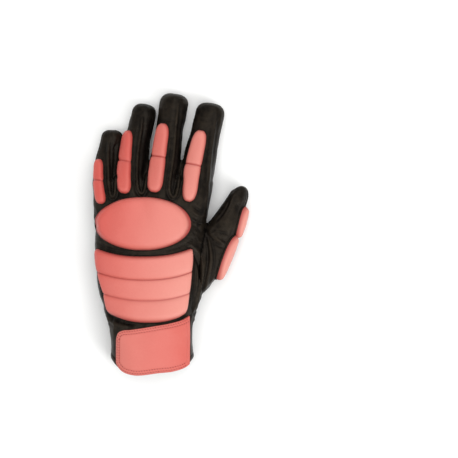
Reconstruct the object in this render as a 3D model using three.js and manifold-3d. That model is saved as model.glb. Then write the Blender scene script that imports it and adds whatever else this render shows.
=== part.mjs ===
// A short-cuffed racing glove for the left hand, lying on its palm with its fingers along +Y and its
// thumb towards +X. The leather is a hollow wall that the hand goes into from the cuff. Foam pads stand
// on the back of the hand, the knuckles, each finger and the thumb, and a wide strap closes the cuff.
import * as THREE from "three";
import { mergeVertices } from "three/addons/utils/BufferGeometryUtils.js";
import Module from "manifold-3d";

// Driving dimensions, in millimetres.
const WALL = 2.4; // leather, thin foam and lining together
const GAP = 0.3; // between neighbouring pieces
const HAND_LENGTH = 200; // from the cuff's hem to the roots of the fingers
const HAND_WIDTH = 116; // across the knuckles
const HAND_HEIGHT = 46; // through the palm
const CUFF_LENGTH = 60; // from the hem to the wrist seam
const FINGER_SEAM = 192; // from the hem to where the fingers' own leather begins
const HEM_CURVE = 16; // how much further the hem hangs in its middle than at its sides
const BINDING_WIDTH = 5;
const BINDING_THICKNESS = 1.2;
const STRAP_THICKNESS = 2.4;
const STRAP_REACH = 1; // how far the strap hangs past the hem
const PATCH_THICKNESS = 1.0; // reinforcing leather on the palm and the cuff
const FOURCHETTE_WIDTH = 9; // the strip of leather between two fingers
const FINGER_PAD_THICKNESS = 5;
const HAND_PAD_THICKNESS = 7;
const KNUCKLE_PAD_THICKNESS = 8;
const THUMB_PAD_THICKNESS = 5;
const BEDDED = 2.0; // how far a pad starts inside the leather before it is cut to fit on it
const REACH = 400; // longer than the glove, for the solids that only cut

// How finely the walls are faceted. The room inside is coarser, and lies inside the finer wall.
const HAND_SIDES = 26;
const DIGIT_SIDES = 14;
const ROOM_SIDES = 0.7; // as a share of the sides outside
const HEM_STEPS = 12;
const LEAST_EDGE = 0.02;
const FINEST = 0.001; // every size is rounded to this

// The hand's cross-sections, from the mouth to the roots of the fingers: along is a share of its
// length, aside and wide of its width, middle and high of its height.
const HAND_ROWS = [
  { along: -0.06, aside: 0.032, wide: 0.685, middle: 0.57, high: 1.22 },
  { along: 0.1, aside: 0.03, wide: 0.69, middle: 0.56, high: 1.2 },
  { along: 0.215, aside: 0.019, wide: 0.7, middle: 0.54, high: 1.16 },
  { along: 0.3, aside: 0.015, wide: 0.77, middle: 0.5, high: 1.1 },
  { along: 0.355, aside: 0.019, wide: 0.823, middle: 0.47, high: 1.07 },
  { along: 0.415, aside: 0.021, wide: 0.87, middle: 0.45, high: 1.05 },
  { along: 0.5, aside: 0.019, wide: 0.89, middle: 0.44, high: 1.04 },
  { along: 0.625, aside: 0.013, wide: 0.905, middle: 0.44, high: 1.04 },
  { along: 0.74, aside: 0.02, wide: 0.93, middle: 0.44, high: 1.02 },
  { along: 0.86, aside: 0.039, wide: 0.974, middle: 0.42, high: 0.92 },
  { along: 0.94, aside: 0.043, wide: 0.98, middle: 0.4, high: 0.8 },
  { along: 0.98, aside: 0.04, wide: 0.94, middle: 0.38, high: 0.64 },
  { along: 1.0, aside: 0.038, wide: 0.88, middle: 0.37, high: 0.44 },
];

// A digit's cross-sections, from its root inside the hand to its tip: along is a share of its length,
// aside and wide of its width, and high of its height. lift is 1 where its middle is as high as its
// knuckle, and 0 where it lies.
const FINGER_ROWS = [
  { along: 0.0, aside: 0.02, wide: 0.94, high: 1.06, lift: 1.0 },
  { along: 0.17, aside: 0.0, wide: 1.06, high: 1.12, lift: 0.86 },
  { along: 0.33, aside: -0.07, wide: 1.08, high: 1.1, lift: 0.56 },
  { along: 0.5, aside: -0.09, wide: 1.01, high: 1.05, lift: 0.28 },
  { along: 0.68, aside: -0.06, wide: 0.98, high: 1.0, lift: 0.08 },
  { along: 0.85, aside: 0.0, wide: 0.98, high: 0.97, lift: 0.0 },
  { along: 0.925, aside: 0.02, wide: 0.92, high: 0.9, lift: 0.0 },
  { along: 0.97, aside: 0.02, wide: 0.74, high: 0.7, lift: 0.0 },
  { along: 1.0, aside: 0.0, wide: 0.42, high: 0.38, lift: 0.0 },
];

// The thumb lies on its side, so wide is its height above the ground and high its breadth there.
const THUMB_ROWS = [
  { along: 0.0, aside: -0.02, wide: 0.8, high: 0.85, lift: 1.0 },
  { along: 0.17, aside: -0.02, wide: 0.98, high: 1.16, lift: 1.0 },
  { along: 0.35, aside: -0.03, wide: 1.0, high: 1.16, lift: 0.8 },
  { along: 0.52, aside: -0.06, wide: 0.98, high: 1.02, lift: 0.5 },
  { along: 0.69, aside: -0.03, wide: 0.95, high: 0.87, lift: 0.2 },
  { along: 0.83, aside: -0.03, wide: 0.88, high: 0.7, lift: 0.0 },
  { along: 0.92, aside: -0.06, wide: 0.74, high: 0.48, lift: 0.0 },
  { along: 0.97, aside: -0.08, wide: 0.56, high: 0.32, lift: 0.0 },
  { along: 1.0, aside: -0.1, wide: 0.32, high: 0.18, lift: 0.0 },
];

// The digits, in millimetres and degrees. across, up and knuckle say where the root's middle is, as
// shares of the hand's width, length and height. lean turns a digit sideways, and roll turns its back
// towards -X.
const DIGITS = {
  index: { width: 28.5, height: 25, length: 109, across: 0.373, up: 0.826, knuckle: 0.56, lean: 10.6, roll: 12 },
  middle: { width: 28.5, height: 25.5, length: 118, across: 0.093, up: 0.825, knuckle: 0.66, lean: 7.8, roll: 24 },
  ring: { width: 26.5, height: 24.5, length: 110, across: -0.17, up: 0.816, knuckle: 0.65, lean: 9.8, roll: 32 },
  little: { width: 22.5, height: 21.5, length: 85, across: -0.368, up: 0.805, knuckle: 0.57, lean: 5.1, roll: 34 },
  thumb: { width: 30, height: 30.5, length: 113, across: 0.379, up: 0.44, knuckle: 0.38, lean: 29, roll: -74 },
};
const FINGER_NAMES = ["index", "middle", "ring", "little"];
const HAND_SQUARE = 2.5; // 2 is an ellipse, and more is squarer
const DIGIT_SQUARE = 2.3;
const LYING = 0.46; // the height of a lying finger's middle, as a share of its height

// The strap: from its free end at the left to where it is sewn at the right, as shares of the cuff's
// half width, and its top edge from right to left, as shares of its reach and of the cuff's length.
const STRAP_LEFT = -0.87;
const STRAP_RIGHT = 0.94;
const STRAP_LOWEST = -4; // how far below the side seam it may come, in millimetres
const STRAP_TOP = [
  { across: 1.0, up: 0.965 },
  { across: 0.8, up: 0.885 },
  { across: 0.5, up: 0.81 },
  { across: 0.2, up: 0.765 },
  { across: 0.07, up: 0.745 },
  { across: 0.015, up: 0.69 },
  { across: 0.0, up: 0.6 },
];

// Where the patches lie, as shares of the hand's width and length.
const PALM_PATCH = { left: -0.21, right: 0.25, from: 0.47, to: 0.86 };
const CUFF_PATCH = { left: -0.1, right: 0.16, from: 0.07, to: 0.26 };

// A pad's columns, from its left edge to its right: across is a share of its width, and crown a share
// of its thickness.
const PAD_COLUMNS = [
  { across: 0.0, crown: 0.35 },
  { across: 0.07, crown: 0.72 },
  { across: 0.22, crown: 0.94 },
  { across: 0.5, crown: 1.0 },
  { across: 0.78, crown: 0.94 },
  { across: 0.93, crown: 0.72 },
  { across: 1.0, crown: 0.35 },
];

// The knuckle pad is an ellipse. along is a share of the hand's length, left and right are shares of
// its half width, and thick is a share of the pad's thickness.
const KNUCKLE_PAD_ROWS = [
  { along: 0.627, left: -0.38, right: 0.17, thick: 0.4 },
  { along: 0.638, left: -0.58, right: 0.37, thick: 0.8 },
  { along: 0.665, left: -0.8, right: 0.59, thick: 0.97 },
  { along: 0.71, left: -0.95, right: 0.73, thick: 1.0 },
  { along: 0.755, left: -0.97, right: 0.735, thick: 1.0 },
  { along: 0.8, left: -0.92, right: 0.66, thick: 1.0 },
  { along: 0.838, left: -0.76, right: 0.5, thick: 0.97 },
  { along: 0.862, left: -0.57, right: 0.32, thick: 0.8 },
  { along: 0.873, left: -0.37, right: 0.12, thick: 0.4 },
];

// The pad on the back of the hand, in the same shares, with two sewn channels across it.
const HAND_PAD_BOW = 0.047; // how far each row's middle hangs, as a share of the hand's length
const HAND_PAD_ROWS = [
  { along: 0.304, left: -0.72, right: 0.68, thick: 0.4 },
  { along: 0.318, left: -0.85, right: 0.79, thick: 0.8 },
  { along: 0.35, left: -0.9, right: 0.82, thick: 0.97 },
  { along: 0.402, left: -0.9, right: 0.79, thick: 0.95 },
  { along: 0.414, left: -0.9, right: 0.78, thick: 0.55 },
  { along: 0.426, left: -0.91, right: 0.78, thick: 0.95 },
  { along: 0.465, left: -0.94, right: 0.78, thick: 1.0 },
  { along: 0.508, left: -0.95, right: 0.78, thick: 0.95 },
  { along: 0.52, left: -0.95, right: 0.78, thick: 0.55 },
  { along: 0.532, left: -0.955, right: 0.78, thick: 0.95 },
  { along: 0.575, left: -0.96, right: 0.785, thick: 1.0 },
  { along: 0.614, left: -0.96, right: 0.785, thick: 0.97 },
  { along: 0.63, left: -0.95, right: 0.775, thick: 0.8 },
  { along: 0.637, left: -0.93, right: 0.76, thick: 0.4 },
];

// A finger's pad from its wrist end to its tip end, with a crease where the finger bends: share is a
// share of its length, wide of its half width, and thick of its thickness.
const CREASED_PAD = [
  { share: 0.0, wide: 0.38, thick: 0.4 },
  { share: 0.035, wide: 0.75, thick: 0.8 },
  { share: 0.11, wide: 1.0, thick: 0.97 },
  { share: 0.3, wide: 1.02, thick: 1.0 },
  { share: 0.49, wide: 1.0, thick: 0.95 },
  { share: 0.51, wide: 0.96, thick: 0.55 },
  { share: 0.53, wide: 1.0, thick: 0.95 },
  { share: 0.7, wide: 1.0, thick: 1.0 },
  { share: 0.89, wide: 0.93, thick: 0.97 },
  { share: 0.965, wide: 0.68, thick: 0.8 },
  { share: 1.0, wide: 0.36, thick: 0.4 },
];
const PLAIN_PAD = [
  { share: 0.0, wide: 0.3, thick: 0.4 },
  { share: 0.06, wide: 0.6, thick: 0.8 },
  { share: 0.22, wide: 0.92, thick: 0.97 },
  { share: 0.5, wide: 1.0, thick: 1.0 },
  { share: 0.8, wide: 0.9, thick: 0.97 },
  { share: 0.95, wide: 0.6, thick: 0.8 },
  { share: 1.0, wide: 0.32, thick: 0.4 },
];

// Where each digit's pad lies: from and to are shares of the digit's length. near and far are the
// pad's middle at those two ends, and half its half width, as shares of the digit's half width.
const FINGER_PADS = {
  index: { from: 0.065, to: 0.735, near: -0.04, far: -0.09, half: 0.5 },
  middle: { from: 0.14, to: 0.735, near: -0.03, far: -0.04, half: 0.5 },
  ring: { from: 0.16, to: 0.75, near: -0.08, far: -0.32, half: 0.5 },
  little: { from: 0.11, to: 0.645, near: -0.02, far: -0.18, half: 0.48 },
};
const THUMB_PADS = {
  thumb_base_pad: { from: 0.165, to: 0.56, near: 0.05, far: 0.05, half: 0.62 },
  thumb_tip_pad: { from: 0.575, to: 0.86, near: 0.05, far: 0.05, half: 0.6 },
};

const wasm = await Module();
wasm.setup();

const rounded = (size) => Math.round(size / FINEST) * FINEST;

// A closed mesh as a solid that can be cut and joined.
function solidOf(geometry) {
  const bare = geometry.clone();
  bare.deleteAttribute("normal");
  bare.deleteAttribute("uv");
  const merged = mergeVertices(bare, FINEST);
  return new wasm.Manifold(
    new wasm.Mesh({
      numProp: 3,
      vertProperties: merged.attributes.position.array,
      triVerts: new Uint32Array(merged.index.array),
    }),
  );
}

// A solid as a mesh's geometry, with flat faces and rounded sizes.
function geometryOf(solid) {
  const { numProp, numVert, vertProperties, triVerts } = solid.getMesh();
  const positions = new Float32Array(numVert * 3);
  for (let i = 0; i < numVert; i++) {
    for (let k = 0; k < 3; k++) positions[i * 3 + k] = rounded(vertProperties[i * numProp + k]);
  }
  const geometry = new THREE.BufferGeometry()
    .setAttribute("position", new THREE.BufferAttribute(positions, 3))
    .setIndex(new THREE.BufferAttribute(triVerts, 1))
    .toNonIndexed();
  geometry.computeVertexNormals();
  return geometry;
}

// Cutting leaves specks and slivers of no volume where two surfaces nearly agree. A piece is its
// largest body, with the finest edges worn away.
function largestBody(solid) {
  return solid.decompose().reduce((most, part) => (part.volume() > most.volume() ? part : most));
}
function piece(solid) {
  return largestBody(solidOf(geometryOf(largestBody(solid.simplify(LEAST_EDGE)))));
}

// A grid of points, rows by columns, as one closed solid. The columns run round, and the two end rows
// are closed with a fan to their middle.
function closedTube(rings) {
  const sides = rings[0].length;
  const points = rings.flat();
  const last = rings.length - 1;
  const middle = (ring) => ring.reduce((sum, p) => sum.add(p), new THREE.Vector3()).divideScalar(sides);
  const startCentre = points.push(middle(rings[0])) - 1;
  const endCentre = points.push(middle(rings[last])) - 1;
  const faces = [];
  for (let j = 0; j < sides; j++) {
    const k = (j + 1) % sides;
    for (let i = 0; i < last; i++) {
      const a = i * sides + j;
      const b = i * sides + k;
      const c = (i + 1) * sides + k;
      const d = (i + 1) * sides + j;
      faces.push(a, b, c, a, c, d);
    }
    faces.push(startCentre, k, j);
    faces.push(endCentre, last * sides + j, last * sides + k);
  }
  return solidFacingOut(points, faces);
}

function solidFacingOut(points, faces) {
  const geometry = new THREE.BufferGeometry().setFromPoints(points).setIndex(faces);
  const solid = solidOf(geometry);
  if (solid.volume() > 0) return solid;
  for (let i = 0; i < faces.length; i += 3) {
    [faces[i + 1], faces[i + 2]] = [faces[i + 2], faces[i + 1]];
  }
  return solidOf(new THREE.BufferGeometry().setFromPoints(points).setIndex(faces));
}

// A limb is the hand or a digit: a row of cross-sections along a straight line that leans sideways.
function limbOf(digit, rows, square, sides) {
  const { width, height, length, across = 0, up = 0, knuckle = 0, lean = 0, roll = 0 } = digit;
  const turn = THREE.MathUtils.degToRad(lean);
  return {
    rows,
    square,
    sides,
    width,
    height,
    length,
    knuckle: knuckle * HAND_HEIGHT,
    roll: THREE.MathUtils.degToRad(roll),
    root: new THREE.Vector3(across * HAND_WIDTH, up * HAND_LENGTH, 0),
    forward: new THREE.Vector3(Math.sin(turn), Math.cos(turn), 0),
    side: new THREE.Vector3(Math.cos(turn), -Math.sin(turn), 0),
  };
}

// The cross-section at a share of a limb's length, between its two neighbouring rows.
function sectionAt(limb, along) {
  const { rows } = limb;
  const next = Math.min(Math.max(rows.findIndex((r) => r.along >= along), 1), rows.length - 1);
  const [a, b] = [rows[next - 1], rows[next]];
  const t = (along - a.along) / (b.along - a.along);
  const between = (key) => THREE.MathUtils.lerp(a[key], b[key], t);
  return Object.fromEntries(Object.keys(a).map((key) => [key, between(key)]));
}

// How high the middle of a cross-section is. A digit comes down from its knuckle to where it lies.
function middleHeight(limb, row) {
  if (limb === hand) return row.middle * limb.height;
  return THREE.MathUtils.lerp(LYING * limb.height, limb.knuckle, row.lift);
}

// A point on a limb's surface. angle goes round from its side over its back, and grow moves the
// surface out, or in if it is negative.
function surfacePoint(limb, along, angle, grow) {
  const row = sectionAt(limb, along);
  const power = 2 / limb.square;
  const [c, s] = [Math.cos(angle), Math.sin(angle)];
  const across = ((row.wide * limb.width) / 2 + grow) * Math.sign(c) * Math.abs(c) ** power;
  const above = ((row.high * limb.height) / 2 + grow) * Math.sign(s) * Math.abs(s) ** power;
  const sideways = across * Math.cos(limb.roll) - above * Math.sin(limb.roll);
  const upwards = across * Math.sin(limb.roll) + above * Math.cos(limb.roll);
  const point = limb.root.clone();
  point.addScaledVector(limb.forward, along * (limb.length + grow));
  point.addScaledVector(limb.side, row.aside * limb.width + sideways);
  point.z = middleHeight(limb, row) + upwards;
  return point;
}

function limbSolid(limb, grow) {
  const sides = grow < 0 ? 2 * Math.round((limb.sides * ROOM_SIDES) / 2) : limb.sides;
  const rings = limb.rows.map(({ along }) =>
    Array.from({ length: sides }, (_, j) => surfacePoint(limb, along, ((j + 0.5) / sides) * 2 * Math.PI, grow)),
  );
  return closedTube(rings);
}

const hand = limbOf(
  { width: HAND_WIDTH, height: HAND_HEIGHT, length: HAND_LENGTH },
  HAND_ROWS,
  HAND_SQUARE,
  HAND_SIDES,
);
const digits = {};
for (const name of FINGER_NAMES) {
  digits[name] = limbOf(DIGITS[name], FINGER_ROWS, DIGIT_SQUARE, DIGIT_SIDES);
}
digits.thumb = limbOf(DIGITS.thumb, THUMB_ROWS, DIGIT_SQUARE, DIGIT_SIDES);

// A prism that stands along Z on an outline of x and y points.
function standing(points, low = -REACH, high = REACH) {
  const shape = new THREE.Shape(points.map(([x, y]) => new THREE.Vector2(x, y)));
  const geometry = new THREE.ExtrudeGeometry(shape, { depth: high - low, bevelEnabled: false });
  return solidOf(geometry.translate(0, 0, low));
}

// A prism that runs along X, from an outline of y and z points.
function lying(points) {
  const shape = new THREE.Shape(points.map(([y, z]) => new THREE.Vector2(y, z)));
  const geometry = new THREE.ExtrudeGeometry(shape, { depth: 2 * REACH, bevelEnabled: false });
  const turn = new THREE.Matrix4().makeBasis(
    new THREE.Vector3(0, 1, 0),
    new THREE.Vector3(0, 0, 1),
    new THREE.Vector3(1, 0, 0),
  );
  return solidOf(geometry.translate(0, 0, -REACH).applyMatrix4(turn));
}

const above = (z) => standing([[-REACH, -REACH], [REACH, -REACH], [REACH, REACH], [-REACH, REACH]], z);
const ahead = (y) => standing([[-REACH, y], [REACH, y], [REACH, REACH], [-REACH, REACH]]);
const union = (solids) => solids.reduce((sum, s) => sum.add(s));

// The hem is nearly straight in the middle of the cuff and rises quickly near its sides. shift moves
// the whole line along +Y.
const CUFF = sectionAt(hand, 0);
const CUFF_MIDDLE = CUFF.aside * HAND_WIDTH;
const CUFF_HALF = (CUFF.wide * HAND_WIDTH) / 2;
function hemLine(from, to, shift) {
  return Array.from({ length: HEM_STEPS + 1 }, (_, i) => {
    const u = THREE.MathUtils.lerp(from, to, i / HEM_STEPS);
    return [CUFF_MIDDLE + u * CUFF_HALF, shift + HEM_CURVE * u ** 4];
  });
}
function aheadOfHem(shift) {
  const line = hemLine(-1.25, 1.25, shift);
  return standing([...line, [line.at(-1)[0], REACH], [line[0][0], REACH]]);
}

const FOURCHETTE_START = 0.12; // where a fourchette runs from and to, as shares of the fingers
const FOURCHETTE_END = 0.9;

// The leather, whole, and the room inside it. Both are flat where the glove rests.
const fingers = FINGER_NAMES.map((name) => digits[name]);
const grown = (limbs, grow) => union(limbs.map((limb) => limbSolid(limb, grow)));
const floor = above(0);
const handAndFingers = grown([hand, ...fingers], 0).intersect(floor);
const thumbOuter = limbSolid(digits.thumb, 0).intersect(floor);
const room = grown([hand, ...fingers, digits.thumb], -WALL).intersect(above(WALL));
const shell = handAndFingers.subtract(room);

// The side seam between the back and the palm, as a height for each share of the hand's length.
const SEAM_ROWS = [
  { along: -0.5, high: 0.5 },
  { along: 0.35, high: 0.46 },
  { along: 0.85, high: 0.38 },
  { along: 1.1, high: 0.3 },
  { along: 1.6, high: 0.26 },
];
function aboveSeam(shift) {
  const line = SEAM_ROWS.map(({ along, high }) => [along * HAND_LENGTH, high * HAND_HEIGHT + shift]);
  return lying([...line, [line.at(-1)[0], REACH], [line[0][0], REACH]]);
}


// The middle of a limb, seen from above, at a share of its length and then shift further.
function middleOf(limb, along, shift = 0) {
  const point = limb.root.clone().addScaledVector(limb.forward, along * limb.length + shift);
  return point.addScaledVector(limb.side, sectionAt(limb, along).aside * limb.width);
}

// The strip of space between two fingers where a fourchette joins the back to the palm.
function betweenFingers(first, second, grow) {
  const corners = [
    middleOf(first, FOURCHETTE_START, -grow),
    middleOf(first, FOURCHETTE_END, grow),
    middleOf(second, FOURCHETTE_END, grow),
    middleOf(second, FOURCHETTE_START, -grow),
  ];
  const prism = standing(corners.map(({ x, y }) => [x, y]));
  const half = FOURCHETTE_WIDTH / 2 + grow;
  return prism.intersect(aboveSeam(-half)).subtract(aboveSeam(half));
}

const pieces = [];
function add(name, material, solid) {
  pieces.push({ name, material, solid: piece(solid) });
}

// The line half way between two neighbouring fingers, from inside the hand to past their tips.
function halfWay(first, second, shift) {
  const line = FINGER_ROWS.map(({ along }) => {
    const point = middleOf(first, along).lerp(middleOf(second, along), 0.5);
    return [point.x + shift, point.y];
  });
  return [[line[0][0], 0], ...line, [line.at(-1)[0], REACH]];
}
// The space that holds one finger and nothing of its neighbours.
function roomFor(name) {
  const [left, right] = [1, -1].map((step) => digits[FINGER_NAMES[FINGER_NAMES.indexOf(name) + step]]);
  const leftEdge = left ? halfWay(left, digits[name], GAP / 2) : [[-REACH, 0], [-REACH, REACH]];
  const rightEdge = right ? halfWay(digits[name], right, -GAP / 2) : [[REACH, 0], [REACH, REACH]];
  return standing([...rightEdge, ...leftEdge.reverse()]).intersect(ahead(FINGER_SEAM + GAP / 2));
}

// The strips between the fingers, and the back and the palm that they and the side seams part.
const body = shell.intersect(ahead(CUFF_LENGTH + GAP));
let seams = aboveSeam(-GAP / 2).subtract(aboveSeam(GAP / 2));
for (let i = 1; i < FINGER_NAMES.length; i++) {
  const [right, left] = [FINGER_NAMES[i - 1], FINGER_NAMES[i]];
  add(`fourchette_${left}_${right}`, "leather", body.intersect(betweenFingers(digits[left], digits[right], 0)));
  seams = seams.add(betweenFingers(digits[left], digits[right], GAP));
}
const panels = body.subtract(seams);
const backs = panels.intersect(aboveSeam(0));
const fronts = panels.subtract(aboveSeam(0));
for (const name of FINGER_NAMES) {
  add(`${name}_finger_back`, "leather", backs.intersect(roomFor(name)));
  add(`${name}_finger_front`, "leather", fronts.intersect(roomFor(name)));
}
const beyondFingerSeam = ahead(FINGER_SEAM - GAP / 2);
add("back_panel", "leather", backs.subtract(beyondFingerSeam));

// A reinforcing patch is let into the flat underside, flush with it.
function patchPrism(patch, grow) {
  const left = patch.left * HAND_WIDTH - grow;
  const right = patch.right * HAND_WIDTH + grow;
  const low = patch.from * HAND_LENGTH - grow;
  const high = patch.to * HAND_LENGTH + grow;
  const corners = [
    [left, low],
    [right, low],
    [right, high],
    [left, high],
  ];
  return standing(corners, -REACH, PATCH_THICKNESS + grow);
}
add("palm_patch", "leather", patchPrism(PALM_PATCH, 0).intersect(floor));
add("palm_panel", "leather", fronts.subtract(beyondFingerSeam).subtract(patchPrism(PALM_PATCH, GAP)));

// The cuff, with its bound hem and its strap.
const cuffTube = shell.intersect(aheadOfHem(0)).subtract(ahead(CUFF_LENGTH));
add("cuff", "leather", cuffTube.subtract(patchPrism(CUFF_PATCH, GAP)));
add("cuff_patch", "leather", patchPrism(CUFF_PATCH, 0).intersect(floor));

// A layer of even thickness that lies on the cuff.
function layerOnCuff(low, high) {
  return limbSolid(hand, high).subtract(limbSolid(hand, low)).intersect(floor);
}
const bindingBand = aheadOfHem(0).subtract(aheadOfHem(BINDING_WIDTH));
add("cuff_binding", "leather", layerOnCuff(GAP, GAP + BINDING_THICKNESS).intersect(bindingBand));

const strapBase = 2 * GAP + BINDING_THICKNESS;
const strapEdge = [
  ...hemLine(STRAP_LEFT, STRAP_RIGHT, -STRAP_REACH),
  ...STRAP_TOP.map(({ across, up }) => [
    CUFF_MIDDLE + THREE.MathUtils.lerp(STRAP_LEFT, STRAP_RIGHT, across) * CUFF_HALF,
    up * CUFF_LENGTH,
  ]),
];
const strap = layerOnCuff(strapBase, strapBase + STRAP_THICKNESS).intersect(standing(strapEdge));
add("closure_strap", "coral", strap.intersect(aboveSeam(STRAP_LOWEST)));

// The thumb is two gutters, its back and its front, sewn together along their sides.
const thumb = thumbOuter.subtract(room).subtract(grown([hand, ...fingers], GAP));
function besideThumbSeam(shift) {
  const { root, forward, side, rows, height, length } = digits.thumb;
  const line = rows.map(({ along, aside }) =>
    root.clone().addScaledVector(forward, along * length).addScaledVector(side, aside * height + shift),
  );
  const start = line[0].clone().addScaledVector(forward, -length);
  const end = line.at(-1).clone().addScaledVector(forward, length);
  const far = [end, start].map((p) => p.clone().addScaledVector(side, REACH));
  return standing([start, ...line, end, ...far].map(({ x, y }) => [x, y]));
}
add("thumb_back", "leather", thumb.intersect(besideThumbSeam(GAP / 2)));
add("thumb_front", "leather", thumb.subtract(besideThumbSeam(-GAP / 2)));

// A pad is a grid of points over a limb's back. Each row runs from its left to its right edge, given
// as shares of the limb's half width there, and bow lowers its middle towards the wrist.
function pad(limb, rows, thickness, bow = 0) {
  const angleOf = (share) => Math.acos(Math.sign(share) * Math.abs(share) ** (limb.square / 2));
  const layer = (grow) =>
    rows.flatMap(({ along, left, right, thick }) =>
      PAD_COLUMNS.map(({ across, crown }) => {
        const share = THREE.MathUtils.lerp(left, right, across);
        const sag = bow * (1 - (2 * across - 1) ** 2);
        return surfacePoint(limb, along - sag, angleOf(share), grow(thick * crown));
      }),
    );
  const columns = PAD_COLUMNS.length;
  const points = [...layer(() => -BEDDED), ...layer((share) => GAP + share * thickness)];
  const top = rows.length * columns;
  const faces = [];
  for (let i = 0; i < rows.length - 1; i++) {
    for (let j = 0; j < columns - 1; j++) {
      const [a, b, c, d] = [0, 1, columns + 1, columns].map((step) => i * columns + j + step);
      faces.push(a, c, b, a, d, c, top + a, top + b, top + c, top + a, top + c, top + d);
    }
  }
  const rim = [];
  for (let j = 0; j < columns - 1; j++) rim.push(j);
  for (let i = 0; i < rows.length - 1; i++) rim.push((i + 1) * columns - 1);
  for (let j = columns - 1; j > 0; j--) rim.push((rows.length - 1) * columns + j);
  for (let i = rows.length - 1; i > 0; i--) rim.push(i * columns);
  rim.forEach((a, n) => {
    const b = rim[(n + 1) % rim.length];
    faces.push(a, b, top + b, a, top + b, top + a);
  });
  return solidFacingOut(points, faces);
}

const leatherBelow = grown([hand, ...fingers], GAP);
add("knuckle_pad", "coral", pad(hand, KNUCKLE_PAD_ROWS, KNUCKLE_PAD_THICKNESS).subtract(leatherBelow));
add("hand_pad", "coral", pad(hand, HAND_PAD_ROWS, HAND_PAD_THICKNESS, HAND_PAD_BOW).subtract(leatherBelow));

// Every finger's pad has the same shape between its own two ends.
function digitPad(limb, { from, to, near, far, half }, shape, thickness) {
  const rows = shape.map(({ share, wide, thick }) => {
    const centre = THREE.MathUtils.lerp(near, far, share);
    return {
      along: THREE.MathUtils.lerp(from, to, share),
      left: centre - half * wide,
      right: centre + half * wide,
      thick,
    };
  });
  return pad(limb, rows, thickness);
}
for (const name of FINGER_NAMES) {
  const solid = digitPad(digits[name], FINGER_PADS[name], CREASED_PAD, FINGER_PAD_THICKNESS);
  add(`${name}_finger_pad`, "coral", solid.subtract(leatherBelow));
}
const leatherByThumb = leatherBelow.add(limbSolid(digits.thumb, GAP));
for (const [name, place] of Object.entries(THUMB_PADS)) {
  const solid = digitPad(digits.thumb, place, PLAIN_PAD, THUMB_PAD_THICKNESS);
  add(name, "coral", solid.subtract(leatherByThumb));
}

const materials = {
  leather: new THREE.MeshStandardMaterial({ color: 0x231f1d, roughness: 0.5, metalness: 0 }),
  coral: new THREE.MeshStandardMaterial({ color: 0xe4726a, roughness: 0.6, metalness: 0 }),
};

const glove = new THREE.Group();
for (const { name, solid, material } of pieces) {
  const mesh = new THREE.Mesh(geometryOf(solid), materials[material]);
  mesh.name = name;
  glove.add(mesh);
}

// The glove's middle is over the origin, and it rests at height zero.
const bounds = new THREE.Box3().setFromObject(glove);
const middle = bounds.getCenter(new THREE.Vector3());
glove.position.set(-rounded(middle.x), -rounded(middle.y), -bounds.min.z);

const group = new THREE.Group();
group.add(glove);
export default group;
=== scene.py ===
"""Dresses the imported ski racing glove: supple black leather, coral foam pads, a sewn strap and lining.

Sizes are in millimetres in the glove's own pattern frame until the last step: its origin is at the
middle of the hem, +Y runs to the fingertips and +X to the thumb. placed() moves a shape from there to
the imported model's frame, in metres.
"""

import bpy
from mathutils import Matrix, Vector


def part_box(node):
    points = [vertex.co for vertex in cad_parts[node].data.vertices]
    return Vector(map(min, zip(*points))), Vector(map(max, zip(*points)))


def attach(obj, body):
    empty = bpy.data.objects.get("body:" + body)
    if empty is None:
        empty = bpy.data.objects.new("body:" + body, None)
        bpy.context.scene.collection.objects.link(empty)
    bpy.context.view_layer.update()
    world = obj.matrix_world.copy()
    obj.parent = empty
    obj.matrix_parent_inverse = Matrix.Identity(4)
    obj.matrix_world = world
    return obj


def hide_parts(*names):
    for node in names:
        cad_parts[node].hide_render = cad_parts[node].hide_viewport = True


bl_info = {
    "name": "Ski racing glove",
    "version": (1, 0, 0),
    "blender": (4, 5, 0),
    "location": "3D View > Sidebar > Glove",
    "description": "Builds a padded leather racing glove on its packed solids",
    "category": "Add Mesh",
}

from typing import NamedTuple

import bpy
import mathutils
import numpy as np

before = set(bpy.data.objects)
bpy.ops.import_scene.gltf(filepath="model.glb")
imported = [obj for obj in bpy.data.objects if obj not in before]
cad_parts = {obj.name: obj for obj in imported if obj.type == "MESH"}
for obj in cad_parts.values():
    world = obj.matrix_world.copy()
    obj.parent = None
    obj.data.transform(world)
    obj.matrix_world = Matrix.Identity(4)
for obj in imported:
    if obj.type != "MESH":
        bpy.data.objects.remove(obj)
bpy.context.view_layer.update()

# The solids' own sizes, in millimetres. A patch has its left, right, near and far edge, and the side
# seam its height along the glove.
HAND_LENGTH, HAND_WIDTH, HAND_HEIGHT = 200.0, 116.0, 46.0
CUFF_LENGTH = 60.0
PALM_PATCH = (-24.4, 29.0, 94.0, 172.0)
CUFF_PATCH = (-11.6, 18.6, 14.0, 52.0)
SEAM_Y = np.array([-100.0, 70.0, 170.0, 220.0, 320.0])
SEAM_Z = np.array([23.0, 21.2, 17.5, 13.8, 12.0])
# The hem's middle and how far it rises from there to its sides; and how far it steps up on the thumb's
# side, and down again at the very side.
HEM_START, HEM_CURVE, HEM_LIFT, HEM_DROP = 1.2, 16.0, 3.2, 2.6
FINGER_ROOT = 192.0  # where the fingers' fronts are sewn to the palm
FOURCHETTE_DROP = 6.0  # how far a fourchette reaches down below the side seam
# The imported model's palm patch shows how far its frame lies from the pattern frame.
SHIFT = np.array(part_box("palm_patch")[0]) * 1000 - (PALM_PATCH[0] + 0.04, PALM_PATCH[2], 0.0)

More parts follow.
